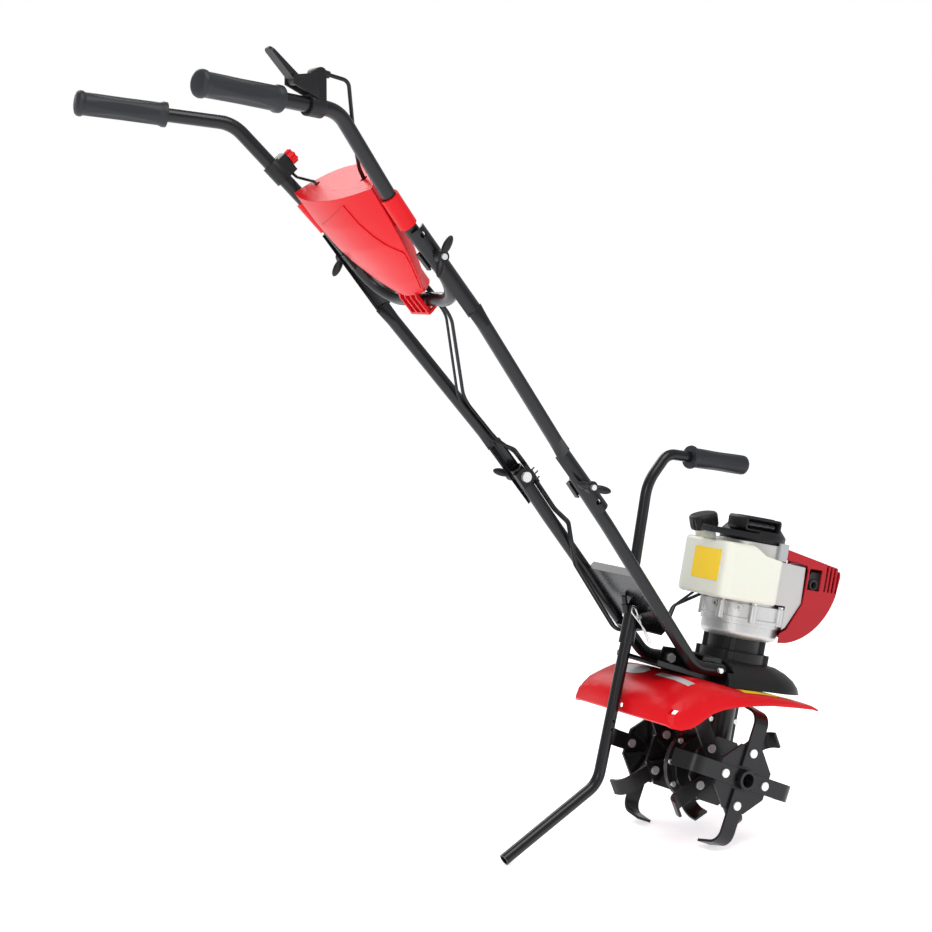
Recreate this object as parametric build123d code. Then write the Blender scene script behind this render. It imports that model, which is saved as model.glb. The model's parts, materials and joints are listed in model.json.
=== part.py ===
from build123d import *
import os
from math import cos, hypot, pi, radians, sin, tan

# A petrol mini tiller: two tine rotors on a worm gearbox, a small four-stroke engine on top with its
# crankshaft upright, and a folding tube handle. Lengths are millimetres, angles are degrees.
# +X is the way it drives, +Y its left side, +Z up. Shapes are drawn about the middle of the tine axle
# and moved at the end, so that the origin is on the ground below the middle of the whole machine.

# Whole machine
TINE_X = 328.96  # tine axle ahead of the origin
BODY_PITCH = 12.0  # engine and gearbox lean forward
FIT = 0.3  # gap between separate shells that sit against each other
RUNNING = 0.05  # radial clearance of shafts in their bearings
PAST = 1.0  # how far a cut reaches past the wall it goes through
FAR = 500.0  # a cut that goes all the way

# Rotor
SPIN = -21.9  # angle of the first right outer blade above the drive direction
BLADE_WIDTH = 25.0
BLADE_THICK = 4.0
BLADE_ROOT = 17.0  # radius where a blade starts
BLADE_FLAT = 79.1  # radius where its bend starts
BLADE_BEND = 18.0  # inside radius of the bend
BLADE_TURN = 80.0
OUTER_TIP = 26.0  # straight tip after the bend, outer blades
INNER_TIP = 7.0  # the same on the inner blades
STARS = 4  # blades in a star
STAR_OFFSET = 45.0  # turn of the inner stars against the outer ones
OUTER_STAR_Y = 112.0
INNER_STAR_Y = 54.0
DISC_RADIUS = 52.0  # over the corners of the eight-sided disc
DISC_SIDES = 8
DISC_THICK = 4.0
RIB_HEIGHT = 5.0
RIB_THICK = 3.0
RIB_SHORT = 6.0  # rib end inside the corner
HUB_RADIUS = 14.5
HUB_START_Y = 23.0
HUB_END_Y = 124.0
SOCKET_RADIUS = 10.0  # open outer end of the hub
SOCKET_LENGTH = 28.0
AXLE_RADIUS = 9.0
RIVET_CIRCLE = 39.4
RIVET_RADIUS = 4.0
RIVET_HEAD = 6.5
RIVET_HEAD_HIGH = 2.6

# Worm gear
MODULE = 2.0
WHEEL_TEETH = 25
WHEEL_WIDTH = 8.0
WORM_RADIUS = 9.0  # pitch radius of the worm
WORM_TURNS = 5
TOOTH_SHARE = 0.34  # tooth thickness over the pitch, which leaves generous backlash
ADDENDUM = 0.62 * MODULE
DEDENDUM = 0.95 * MODULE
THREAD_ROOT = 0.4  # thread sunk into the core
FLANK = 18.0
SHAFT_RADIUS = 5.0
BEARING_RADIUS = 13.0
BEARING_HIGH = 8.0

# Gear case
CASE_RADIUS = 46.0
CASE_HALF = 15.0
CASE_WALL = 5.0
CASE_FLANGE = 55.0
FLANGE_HALF = 4.0
COLUMN_RADIUS = 20.0
COLUMN_LOW = -38.0
COLUMN_FLANGE = 29.0  # round flange that stands on the frame floor from below
COLUMN_FLANGE_HIGH = 8.0
COLUMN_BOLT = 24.0  # bolts beside the column, ahead of and behind its axis
COLUMN_BOLT_Z = (70.0, 98.0)
BUSH_WALL = 3.0
BUSH_OUT = 5.0  # bush past the side of the case
CASE_BOLT_CIRCLE = 50.5
CASE_BOLT_ANGLES = (100.0, 140.0, 180.0, 220.0, 260.0, 300.0)
SMALL_BOLT = 2.5
SMALL_HEAD = 4.4
SMALL_HEAD_HIGH = 3.6
SMALL_DEEP = 10.0

# Frame, fender and skirt, in the leaning frame of the body
FLOOR_Z = 126.0  # underside of the frame floor
SHEET = 3.0
FRAME_HALF = 50.0
FRAME_REAR = -141.0
FRAME_FRONT = 82.0
FRAME_REAR_LIFT = 15.0  # the floor rises towards the back
FRAME_BEND = -22.0
FRAME_LIP = 8.0  # side walls above the floor behind the ears
FRAME_WALL = 12.0  # side walls above the underside at the front
EAR_ABOVE = 16.0  # ears above the tube bolt
EAR_BACK = 15.0
EAR_AHEAD = 24.0
FENDER_HALF = 128.0
FENDER_WALL = 3.5
FENDER_FLAT = 12.0  # flat deck beside the frame
FENDER_LIP = 5.0
FENDER_BULGE = 0.8  # roundness of the shoulders
FENDER_CURVE = (0.0, 22.5, 45.0, 67.5, 90.0)
# along the machine: place, how far the side stands in, deck below the frame, side edge below the frame
FENDER_STATIONS = [
    (106.0, 0.0, 9.0, 14.0),
    (96.0, 0.0, 5.5, 12.5),
    (60.0, 0.0, 2.0, 13.0),
    (18.0, 0.0, 0.0, 14.5),
    (FRAME_BEND, 0.0, 0.0, 19.0),
    (-50.0, 0.0, 0.0, 23.5),
    (-72.0, 0.0, 0.5, 29.0),
    (-89.0, 0.0, 2.5, 36.0),
    (-99.0, 0.0, 5.0, 43.0),
    (-111.0, 0.5, 10.0, 53.0),
    (-124.0, 1.5, 18.0, 61.0),
    (-139.0, 4.0, 29.0, 65.5),
    (-150.0, 9.0, 42.0, 65.0),
    (-156.0, 17.0, 54.0, 61.0),
]
FENDER_TURN = -111.0  # behind this the rear wall starts
FENDER_SLOTS = ((-112.0, 42.0), (0.0, 52.0), (112.0, 42.0))  # side, and below the frame
SLOT_LONG = 9.0
SLOT_HIGH = 6.0
SLOT_AHEAD = 38.0
SKIRT_WALL = 3.0
SKIRT_SIDE = 31.0  # skirt beyond the frame on each side
SKIRT_MIDDLE = 70.0  # centre of its round front at the bottom
SKIRT_RISE = 36.0
SKIRT_REAR = -30.0
SKIRT_LEVELS = (0.0, 0.25, 0.5, 0.75, 0.92, 1.0)
SKIRT_TUCK = 0.66  # how much narrower the dome gets
SKIRT_LEAN = 0.27  # how fast its middle moves back to the crankshaft
COLLAR_RADIUS = 49.0
COLLAR_HIGH = 14.0
TUBE_ROOM = 3.0  # room for a lower tube in the skirt

# Engine, in the leaning frame, about the upright crankshaft
CLUTCH_RADIUS = 40.0
CLUTCH_WALL = 4.0
CLUTCH_HIGH = 67.0
CLUTCH_BOSSES = (45.0, 135.0, 225.0, 315.0)
BOSS_RADIUS = 6.0
CASTING_RADIUS = 54.0
CASTING_REACH = 8.0  # the crankcase is longer towards the cylinder
CASTING_WALL = 5.0
CASTING_ROUND = 10.0
CASE_RIM = 2.5
CASE_RIM_HIGH = 5.0
LOWER_HALF_HIGH = 26.0
SHOULDER_HIGH = 26.0  # wide part of the upper crankcase half
NECK_HIGH = 14.0
CASE_SCREWS = (60.0, 130.0, 200.0, 250.0, 300.0)
SIDE_BOSSES = (190.0, 228.0)
DRUM_UP = 21.0  # clutch drum above the housing's floor
DRUM_HIGH = 24.0
DRUM_WALL = 3.0
DRUM_GAP = 4.0
SHOE_GAP = 2.0
SHOE_SLOT = 4.0
CRANK_RADIUS = 7.0
CRANK_THROW = 13.0
WEB_RADIUS = 26.0
WEB_HIGH = 8.0
WEB_EYE = 11.0
CRANK_PIN = 6.0
CYLINDER_UP = 20.0  # cylinder above the crankcase seam
CYLINDER_RADIUS = 21.0
CYLINDER_LENGTH = 88.0  # from the crankshaft
BORE_RADIUS = 16.0
FIN_HALF = 23.0
FIN_THICK = 2.4
FINS = 5
HEAD_THICK = 8.0
PLUG_RADIUS = 5.0
FLYWHEEL_RADIUS = 48.0
FLYWHEEL_UP = 8.0
FLYWHEEL_HIGH = 14.0
FAN_BLADES = 12
FAN_HIGH = 18.0
FAN_INNER = 24.0
FAN_THICK = 2.4
COVER_HALF = 56.0
COVER_WALL = 2.5
# side view of the cover, ahead of the crankshaft and above the crankcase
COVER_TOP = ((25.0, 142.0), (122.0, 128.0))
COVER_NOSE = ((122.0, 128.0), (132.0, 124.0), (136.0, 113.0))
COVER_BELLY = ((133.0, 84.0), (104.0, 33.0), (50.0, 4.0))
COVER_FOOT = (17.0, 1.0)
COVER_MOUTH = ((28.0, 12.6), (48.0, 24.0), (71.0, 66.0), (71.0, 116.0), (68.0, 123.0), (25.0, 127.0))
WINDOW = (74.0, 99.0, 88.0, 120.0)
GRILLE_X = 107.0
GRILLE_STEP = 7.5
GRILLE_WIDE = 4.0
GRILLE_SLOTS = 4
GRILLE_LOW = 89.0
GRILLE_DEEP = 18.0
SHROUD_WALL = 1.6
SHROUD_RADIUS = COVER_HALF - COVER_WALL - FIT
SHROUD_UP = 78.0  # shroud above the crankcase
SHROUD_STEP = 8.0
SHROUD_SIDE = ((0.0, 123.0), (67.0, 120.0), (70.0, 66.0), (47.0, 27.0), (34.0, 18.0), (0.0, 18.0))
LATCH = (9.0, 24.5, 123.3, 149.0)
LATCH_OUT = 4.0
LATCH_DEEP = 9.0
MUFFLER = (78.0, 122.0, -48.0, -6.0)
MUFFLER_HIGH = 43.0
MUFFLER_EDGE = 8.0
OUTLET_X = 12.0
OUTLET_UP = 24.0
OUTLET_RADIUS = 8.0
OUTLET_BORE = 5.5
PORT_RADIUS = 7.0
INTAKE_AHEAD = 77.0
INTAKE_PORT = 9.0
INTAKE_BORE = 6.0
CARB_Y = 62.0
CARB_DEEP = 24.0
CARB_HALF = 15.0
CARB_DOWN = 16.0
CARB_UP = 20.0
SPINDLE_RADIUS = 2.2
CABLE_STOP = -34.0  # bracket that holds the end of the throttle cable
CABLE_UP = 27.0
STOP_HALF = 6.0
STOP_THICK = 3.0
ARM_Y = 74.0  # upright throttle spindle of the carburettor
ARM_REACH = 20.0
ARM_UP = 22.0
ARM_THICK = 2.4
CLEANER = (-33.0, 27.0, -22.0, 56.0)
CLEANER_DEEP = 26.0
CLEANER_WALL = 3.5
CLEANER_CORNER = 12.0
TANK_REAR = -101.0  # behind the crankshaft
TANK_FRONT = 12.0
TANK_RIGHT = 72.0
TANK_LEFT = 48.0
TANK_LEFT_FRONT = -40.0
TANK_HIGH = 83.0
TANK_CORNER_LEFT = 30.0
TANK_CORNER_RIGHT = 14.0
TANK_EDGE = 6.0
TANK_WALL = 3.0
TANK_ROOM = 1.5
# dip of the tank's right shoulder, ahead of the crankshaft and below the top
TANK_DIP = ((-52.0, 0.0), (-29.0, 12.0), (30.0, 20.0))
TANK_DIP_Y = -40.0
CAP_X = -75.0
CAP_Y = 16.0
CAP_TILT = -22.0
CAP_RADIUS = 21.0
CAP_HIGH = 22.0
CAP_RIBS = 16
CAP_RIB = 1.6
CAP_UP = 15.0
NECK_RADIUS = 15.0
NECK_UP = 31.0
RECOIL_RADIUS = 49.0
RECOIL_WALL = 3.0
RECOIL_BASE = 13.0  # upright part above the shroud
RECOIL_HIGH = 25.0  # cone above that
RECOIL_CROWN = 28.0
REEL_RADIUS = 18.0
REEL_FLANGE = 2.0
REEL_HALF = 2.2
REEL_UP = 26.0  # rope above the shroud
REEL_ROOM = 3.0
ROPE_RADIUS = 1.8
ROPE_ROOM = 0.7
CRANK_ABOVE = 16.0
BEZEL_HALF = 34.0
BEZEL_LOW = 10.0
BEZEL_HIGH = 11.0
BEZEL_OUT = 42.0
BEZEL_CORNER = 5.0
POCKET_DEEP = 14.0
POCKET_HIGH = 7.5
BEAM_REAR = -112.0
BEAM_HALF = 15.0
BEAM_Y = -28.0
BEAM_LOW = 4.0
BEAM_HIGH = 13.0
BEAM_EDGE = 5.0
GRIP_BAR_LENGTH = 58.0
GRIP_BAR_RADIUS = 5.5

# Handle tubes
TUBE_RADIUS = 9.525
TUBE_WALL = 1.6
TUBE_BORE = TUBE_RADIUS - TUBE_WALL
LOWER_JOINT_X = -262.0
LOWER_JOINT_Z = 438.0
LOWER_JOINT_Y = 74.0  # middle of the lower tube at its joint
MIDDLE_LENGTH = 406.0  # between the two fold joints
MIDDLE_SLOPE = 50.4
UPPER_JOINT_Y = 107.0
UPPER_SLOPE = 48.3
UPPER_RUN = 237.0  # from the upper joint to the bend at the grips
UPPER_SPREAD = 39.0  # how far the sides spread on that run
UPPER_SWEEP = 150.0  # bend where they start to spread
U_BAR_DROP = 75.0  # cross bar of the upper handle, below the joint
U_BEND = 56.0
GRIP_BACK = 204.0
GRIP_SPREAD = 39.0
GRIP_RISE = 22.0
GRIP_BEND = 50.0
GRIP_LENGTH = 121.0
GRIP_RADIUS = 15.3
GRIP_FLANGE = 17.2
GRIP_FLANGE_LONG = 8.0
GRIP_END_WALL = 3.0
LOWER_SLOPE = 52.5
LOWER_TOP = 17.0  # lower tube above its joint bolt
LOWER_BEND = 46.0
LOWER_SWEEP = 200.0
LOWER_STRAIGHT = 30.0  # straight run below the lower crescent
FRAME_BOLT_X = -43.0
FRAME_BOLT_UP = 21.5
FRAME_BOLT_HEAD = 5.0
FRAME_TUBE_END = 12.0  # tube past the frame bolt

# Fold joints, all with M8 bolts
CRESCENT_WIDE = 12.0  # half width of the flattened tube end
CRESCENT_DEEP = 7.2
CRESCENT_WALL = 3.2
UPPER_CRESCENT = (46.0, 92.0)  # above and below the upper bolt
LOWER_CRESCENT = (64.0, 45.0)
CRESCENT_JOIN = 4.0
TAPER = 26.0  # from round tube to flattened end
UPPER_STRAIGHT = UPPER_CRESCENT[0] + 24.0  # the upper tube only spreads past the flattened end
UPPER_SPARE = 36.0
LOWER_SPARE = 29.0
BOLT_RADIUS = 3.95
BOLT_HOLE = 4.2
BOLT_HEAD = 7.5
BOLT_HEAD_HIGH = 4.0
SADDLE_LONG = 13.0
SADDLE_LIP = 6.0
SADDLE_THICK = 2.4
NUT_RADIUS = 9.0
NUT_HIGH = 11.0
NUT_PAST = 4.0
WING_ROOT = 5.0
WING_REACH = 31.0
WING_THICK = 6.0
WING_HIGH = 11.0
WING_CORNER = 5.0
WING_SPLAY = 18.0  # the wings lean out
UPPER_NUT_TURN = -70.0
LOWER_NUT_TURN = 15.0

# Cross plate, drag stake and carry handle
PLATE_TOP = 175.0  # along the lower tube from its joint to the plate
PLATE_LENGTH = 100.0
PLATE_FLANGE = 14.0
STAKE_RADIUS = 8.6
STAKE_WALL = 2.0
STAKE_X = -119.0  # stake axis at the height of its pin
STAKE_PIN_Z = 234.0
STAKE_LEAN = 13.8
STAKE_ABOVE = 14.0  # stake above the pin
STAKE_BEND_Z = -6.0
STAKE_FOOT_X = -339.0
STAKE_BEND = 40.0
STAKE_HOLES = (150.0, 162.0)
STAKE_HOLE = 2.0
SLEEVE_RADIUS = 11.2
SLEEVE_UP = 14.0
SLEEVE_DOWN = 40.0
STAY_RADIUS = 4.2
STAY_COLLAR = 5.6
STAY_BACK = (10.0, 14.0)  # behind the stake axis at its foot and at its top
STAY_UP = (6.0, 30.0)
STAY_COLLAR_LONG = 12.0
PIN_RADIUS = 3.0
PIN_END = 3.2  # pin past the clip's hole
PIN_HEAD = 5.5
PIN_HEAD_HIGH = 3.0
CLIP_WIRE = 1.1
CLIP_AWAY = 6.0  # clip beside the sleeve
CLIP_SLOPE = 66.0
CLIP_STEP = 4.7  # between the two legs of the clip
# second leg of the clip: place down the clip, and how far behind the straight leg
CLIP_LEG = 44.0
CLIP_NECK = -14.0
CLIP_LOOP = ((-21.0, 5.0), (-15.0, 11.0), (-2.0, 7.0), (20.0, 0.5), (44.0, -1.0))
CLIP_BENDS = (3.0, 4.0, 4.0, 12.0, 12.0)
CARRY_RADIUS = 8.0
CARRY_WALL = 1.5
CARRY_POINTS = ((-125.0, 248.0), (-92.0, 426.0), (-56.0, 466.0), (-20.0, 460.0), (85.0, 442.0))
CARRY_BENDS = (70.0, 24.0, 200.0)
CARRY_GRIP_RADIUS = 14.5
CARRY_GRIP_LENGTH = 106.0
CARRY_FLANGE = 17.5
CARRY_FLANGE_LONG = 6.0

# Console, throttle and stop switch, on the upper handle
# place down the slope from the joint, half width, edge and middle above the plane of the tubes, depth behind
CONSOLE = [
    (-122.0, 104.0, -8.0, 44.0, 22.0),
    (-80.0, 100.0, -11.0, 41.0, 22.0),
    (-40.0, 92.0, -13.0, 36.0, 18.0),
    (0.0, 74.0, -12.0, 28.0, 12.0),
    (30.0, 56.0, -10.0, 20.0, 10.0),
    (56.0, 34.0, -6.0, 22.0, 9.0),
]
CLIP_LOW = 54.0
CLIP_HIGH = 102.0
CLIP_WALL = 3.0
CLIP_ARM = 4.0
CLIP_ARM_Z = -6.0
CONSOLE_WALL = 2.5
CONSOLE_LIP = 0.5
FIN_PLACES = (-21.0, -7.0, 7.0, 21.0)
FIN_SHEET = 3.6
FIN_BACK = 40.0
FIN_DEEP = 16.0
FIN_FLOOR = 5.0
FIN_HOOK = 4.0
TAB_HALF = 24.0
POD_BACK = 38.0  # throttle pod behind the bend of the handle
POD_HALF = 11.0
POD_SHELL = 4.0
POD_FRONT = 12.0
POD_REAR = -3.0
POD_UP = 46.0
POD_EDGE = 7.0
LEVER_BACK = 25.0
LEVER_UP = 30.0
CHEEK_REAR = -33.0
CHEEK_LOW = 8.0
CHEEK_HIGH = 39.0
CHEEK_THICK = 2.6
CHEEK_EYE = 5.5  # half height of a cheek at the lever's pivot
PIVOT_RADIUS = 2.55
LEVER_EYE = 6.5
LEVER_LENGTH = 52.0
LEVER_ROOT = 9.0
LEVER_WIDE = 19.0
LEVER_THICK = 3.4
LEVER_TURN = -135.0
LEVER_CORNER = 7.0
ELBOW_UP = 40.0
ELBOW_RADIUS = 4.5
ELBOW_RUN = Vector(9, 0, -2)
SWITCH_S = -154.0
SWITCH_BACK = -12.0
SWITCH_AHEAD = 16.0
SWITCH_HALF = 9.0
SWITCH_SHELL = 3.0
SWITCH_LOW = 2.0
SWITCH_HIGH = 22.0
KNOB_SPINDLE = 4.0
KNOB_DEEP = 7.0
KNOB_RADIUS = 10.5
KNOB_HIGH = 11.0
KNOB_FLUTES = 8
KNOB_FLUTE = 2.2
KNOB_RIM = 3.0

# Control cables: the throttle cable and the stop lead
CABLE_RADIUS = 2.5
LEAD_RADIUS = 2.0
THROTTLE_IN_Y = -57.0
THROTTLE_IN_N = 12.6
LEAD_IN_Y = 62.3
LEAD_IN_N = 8.0
CABLE_ROOM = 2.5  # room round a cable where it passes a wall
TIE_GAP = 0.25  # between a cable and the tube it is tied to
TIE_N = 3.2  # the two cables side by side along the tube
CABLE_PAIR = 4.0  # each cable beside the middle where they pass the cross bar
CROSS_N = 15.5  # cables over the cross bar
CROSS_S = 90.0
TIE_TOP = 116.0  # tied run, above the lower joint
TIE_LOW = 84.0
JOINT_N = 15.0  # cables over the lower joint
JOINT_Y = (77.0, 70.5)
LOWER_START = 60.0
# route points of the cables: place down the slope, side, height over the tubes
BESIDE_S = -190.0  # throttle cable beside the upper tube
BESIDE_IN = 13.5
BESIDE_N = 6.0
CABLE_TAIL = ((20.0, 8.0), (68.0, CROSS_N), (CROSS_S, CROSS_N))
THROTTLE_FALL = ((100.0, 60.0, 14.0), (122.0, 56.0, 0.0), (154.0, 57.0, -15.0), (232.0, 60.0, -17.0))
LEAD_FALL = ((96.0, 53.5, 14.0), (118.0, 49.5, 0.0), (154.0, 50.5, -15.0), (232.0, 53.5, -17.0))
# and on the body: along, side, height
THROTTLE_LOW = (-119.0, 40.0, 206.0)
LEAD_LOW = (-119.0, 33.5, 206.0)
THROTTLE_RISE = ((-70.0, 42.0, 192.0), (-32.0, 76.0, 224.0))
LEAD_RISE = ((-70.0, 35.5, 192.0), (-34.0, 69.0, 226.0))
LEAD_END_Y = (67.0, 64.0)
LEAD_END_UP = 24.0  # stop lead above the casting where it meets the shroud
LEAD_END_BACK = 6.0
STOP_RUN = 22.0  # straight run of the throttle cable before its stop
UPPER_OUT = (15.0, 8.0, 4.0)  # cables ahead of the console's front wall
ENTRY_SIDE = 6.0
ENTRY_UP = 0.4
LEAD_SIDE = (2.0, 4.0)
LEAD_N = 15.0
JOINT_RUN = (16.0, 14.0)  # straight runs of throttle cable and stop lead below the lower joint
JOINT_BACK = 12.0
MIDDLE_OUT = (34.0, 40.0)
TIE_RUN = ((28.0, 34.0), (14.0, 10.0))
CROSS_RUN = (32.0, 26.0)
THROTTLE_UPPER_BENDS = (14.0, 30.0, 30.0, 60.0, 60.0)
LEAD_UPPER_BENDS = (4.0, 6.0, 60.0, 60.0)
THROTTLE_CROSS_BENDS = (50.0, 50.0)
LEAD_CROSS_BENDS = (44.0, 44.0)
THROTTLE_LOWER_BENDS = (14.0, 12.0, 14.0, 14.0, 30.0, 18.0, 24.0, 24.0, 24.0)
LEAD_LOWER_BENDS = (14.0, 12.0, 14.0, 14.0, 30.0, 18.0, 24.0, 20.0, 10.0, 6.0)
THROTTLE_FALL_BENDS = (20.0, 20.0, 20.0)
LEAD_FALL_BENDS = (16.0, 16.0, 20.0)

DRIVE_X = WORM_RADIUS + MODULE * WHEEL_TEETH / 2
PITCH_P = pi * MODULE
CLUTCH_BASE = FLOOR_Z + SHEET
CASTING_LOW = CLUTCH_BASE + CLUTCH_HIGH
CASTING_SEAM = CASTING_LOW + LOWER_HALF_HIGH
CASTING_SHOULDER = CASTING_SEAM + SHOULDER_HIGH
CASTING_TOP = CASTING_SHOULDER + NECK_HIGH
CASTING_NECK = SHROUD_RADIUS - SHROUD_WALL - FIT
CASTING_HOLLOW = CASTING_NECK - CASTING_WALL
COLLAR_TOP = FLOOR_Z + SKIRT_RISE + COLLAR_HIGH
DRUM_LOW = CLUTCH_BASE + DRUM_UP
DRUM_RADIUS = CLUTCH_RADIUS - CLUTCH_WALL - DRUM_GAP
CYLINDER_Z = CASTING_SEAM + CYLINDER_UP
FLYWHEEL_LOW = CASTING_TOP + FLYWHEEL_UP
SHROUD_TOP = CASTING_TOP + SHROUD_UP
INTAKE_X = DRIVE_X + INTAKE_AHEAD
INTAKE_Z = CYLINDER_Z
TANK_LOW = CASTING_SHOULDER + SMALL_HEAD_HIGH + FIT
TANK_TOP = TANK_LOW + TANK_HIGH
ROPE_Z = SHROUD_TOP + REEL_UP
CRANK_TOP = SHROUD_TOP + CRANK_ABOVE
FRAME_BOLT_Z = FLOOR_Z + FRAME_BOLT_UP
AXLE_END_Y = HUB_END_Y - SOCKET_LENGTH - FIT


def blade_tip_radius(tip):
    turn = radians(BLADE_TURN)
    return BLADE_FLAT + (BLADE_BEND + BLADE_THICK) * sin(turn) + tip * cos(turn)


def star_angles(offset):
    return [SPIN + offset + 360 / STARS * i for i in range(STARS)]


def lowest_corner():
    lows = []
    for offset, tip in ((0.0, OUTER_TIP), (STAR_OFFSET, INNER_TIP)):
        for angle in star_angles(offset):
            a = radians(angle)
            lows.append(blade_tip_radius(tip) * sin(a) - BLADE_WIDTH / 2 * abs(cos(a)))
    return -min(lows)


TINE_Z = lowest_corner()

LEAN = Rot(0, BODY_PITCH, 0)
ENGINE = LEAN * Pos(DRIVE_X, 0, 0)
nodes = {}


def body_point(x, y, z):
    p = radians(BODY_PITCH)
    return (x * cos(p) + z * sin(p), y, z * cos(p) - x * sin(p))


def add(name, *shapes):
    solids = []
    for shape in shapes:
        solids += list(shape.solids())
    nodes[name] = solids


def cylinder(radius, low, high, x=0.0, y=0.0):
    return Pos(x, y, (low + high) / 2) * Cylinder(radius, high - low)


def ring(outer, inner, low, high, x=0.0, y=0.0):
    return cylinder(outer, low, high, x, y) - cylinder(inner, low, high, x, y)


def rod(start, end, radius):
    start = Vector(*start)
    way = Vector(*end) - start
    return Solid.make_cylinder(radius, way.length, Plane(origin=start, z_dir=way))


def cross_rod(x, z, y0, y1, radius):
    return rod((x, y0, z), (x, y1, z), radius)


def block(x0, x1, y0, y1, z0, z1):
    return Pos((x0 + x1) / 2, (y0 + y1) / 2, (z0 + z1) / 2) * Box(x1 - x0, y1 - y0, z1 - z0)


def side_plate(points, y0, y1):
    face = make_face(Polyline(*[(x, y0, z) for x, z in points], close=True))
    return extrude(face, amount=y1 - y0, dir=(0, 1, 0))


def bent_rod(points, radii, radius, bore=0.0):
    path = FilletPolyline(*points, radius=list(radii))
    section = Circle(radius)
    if bore:
        section = section - Circle(bore)
    return sweep(Plane(origin=path @ 0, z_dir=path % 0) * section, path=path)


def both_sides(shape):
    return [shape, mirror(shape, about=Plane.XZ)]


def hex_bolt(start, end, shank, head, high):
    start = Vector(*start)
    way = (Vector(*end) - start).normalized()
    top = Plane(origin=start, z_dir=-way)
    return extrude(top * RegularPolygon(head, 6), amount=high) + rod(start, end, shank)


def round_place(radius, angle):
    a = radians(angle)
    return radius * cos(a), radius * sin(a)


# Rotor
def blade(tip, spin, face_y, inward):
    turn = radians(BLADE_TURN)
    along_tip = (cos(turn), sin(turn))

    def arc(radius):
        return [
            (BLADE_FLAT + radius * sin(a), BLADE_BEND - radius * cos(a))
            for a in (0.0, turn / 2, turn)
        ]

    inner = arc(BLADE_BEND)
    outer = arc(BLADE_BEND + BLADE_THICK)
    inner_end = (inner[2][0] + tip * along_tip[0], inner[2][1] + tip * along_tip[1])
    outer_end = (outer[2][0] + tip * along_tip[0], outer[2][1] + tip * along_tip[1])
    edge = Curve() + [
        Line((BLADE_ROOT, 0), inner[0]),
        ThreePointArc(*inner),
        Line(inner[2], inner_end),
        Line(inner_end, outer_end),
        Line(outer_end, outer[2]),
        ThreePointArc(*outer[::-1]),
        Line(outer[0], (BLADE_ROOT, -BLADE_THICK)),
        Line((BLADE_ROOT, -BLADE_THICK), (BLADE_ROOT, 0)),
    ]
    flat = extrude(make_face(edge), amount=BLADE_WIDTH / 2, both=True)
    through = 3 * BLADE_THICK
    flat -= rod((RIVET_CIRCLE, -through, 0), (RIVET_CIRCLE, through, 0), RIVET_RADIUS)
    if not inward:
        flat = mirror(flat, about=Plane.XZ)
    return Pos(0, face_y, 0) * Rot(0, -spin, 0) * flat


def right_blades():
    blades = [blade(OUTER_TIP, a, -OUTER_STAR_Y, True) for a in star_angles(0)]
    for i, angle in enumerate(star_angles(STAR_OFFSET)):
        inward = i % 2 == 1
        face_y = -INNER_STAR_Y if inward else -INNER_STAR_Y - BLADE_THICK
        blades.append(blade(INNER_TIP, angle, face_y, inward))
    return blades


def rivet(angle, face_y):
    x, z = round_place(RIVET_CIRCLE, angle)
    out = face_y - BLADE_THICK
    back = face_y + DISC_THICK
    shank = cross_rod(x, z, out, back, RIVET_RADIUS)
    shank += cross_rod(x, z, out - RIVET_HEAD_HIGH, out, RIVET_HEAD)
    return shank + cross_rod(x, z, back, back + RIVET_HEAD_HIGH, RIVET_HEAD)


def right_hub():
    hub = cross_rod(0, 0, -HUB_END_Y, -HUB_START_Y, HUB_RADIUS)
    half_side = 180 / DISC_SIDES
    for face_y, offset in ((-OUTER_STAR_Y, 0), (-INNER_STAR_Y, STAR_OFFSET)):
        corners = [round_place(DISC_RADIUS, SPIN + half_side * (2 * i + 1)) for i in range(DISC_SIDES)]
        hub += side_plate(corners, face_y, face_y + DISC_THICK)
        for i in range(DISC_SIDES):
            start = HUB_RADIUS - PAST
            rib = block(start, DISC_RADIUS - RIB_SHORT, 0, RIB_HEIGHT, -RIB_THICK / 2, RIB_THICK / 2)
            turn = SPIN + half_side * (2 * i + 1)
            hub += Pos(0, face_y + DISC_THICK, 0) * Rot(0, -turn, 0) * rib
        for angle in star_angles(offset):
            x, z = round_place(RIVET_CIRCLE, angle)
            hub -= cross_rod(x, z, face_y - PAST, face_y + DISC_THICK + PAST, RIVET_RADIUS)
    hub -= cross_rod(0, 0, -HUB_END_Y - PAST, -HUB_START_Y + PAST, AXLE_RADIUS + RUNNING)
    return hub - cross_rod(0, 0, -HUB_END_Y - PAST, SOCKET_LENGTH - HUB_END_Y, SOCKET_RADIUS)


def make_rotor():
    right = right_blades()
    add("tine_blades", *right, *[mirror(b, about=Plane.XZ) for b in right])
    add("tine_hubs", *both_sides(right_hub()))
    rivets = [rivet(a, -OUTER_STAR_Y) for a in star_angles(0)]
    rivets += [rivet(a, -INNER_STAR_Y) for a in star_angles(STAR_OFFSET)]
    add("tine_rivets", *rivets, *[mirror(r, about=Plane.XZ) for r in rivets])
    add("tine_axle", cross_rod(0, 0, -AXLE_END_Y, AXLE_END_Y, AXLE_RADIUS))


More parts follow.
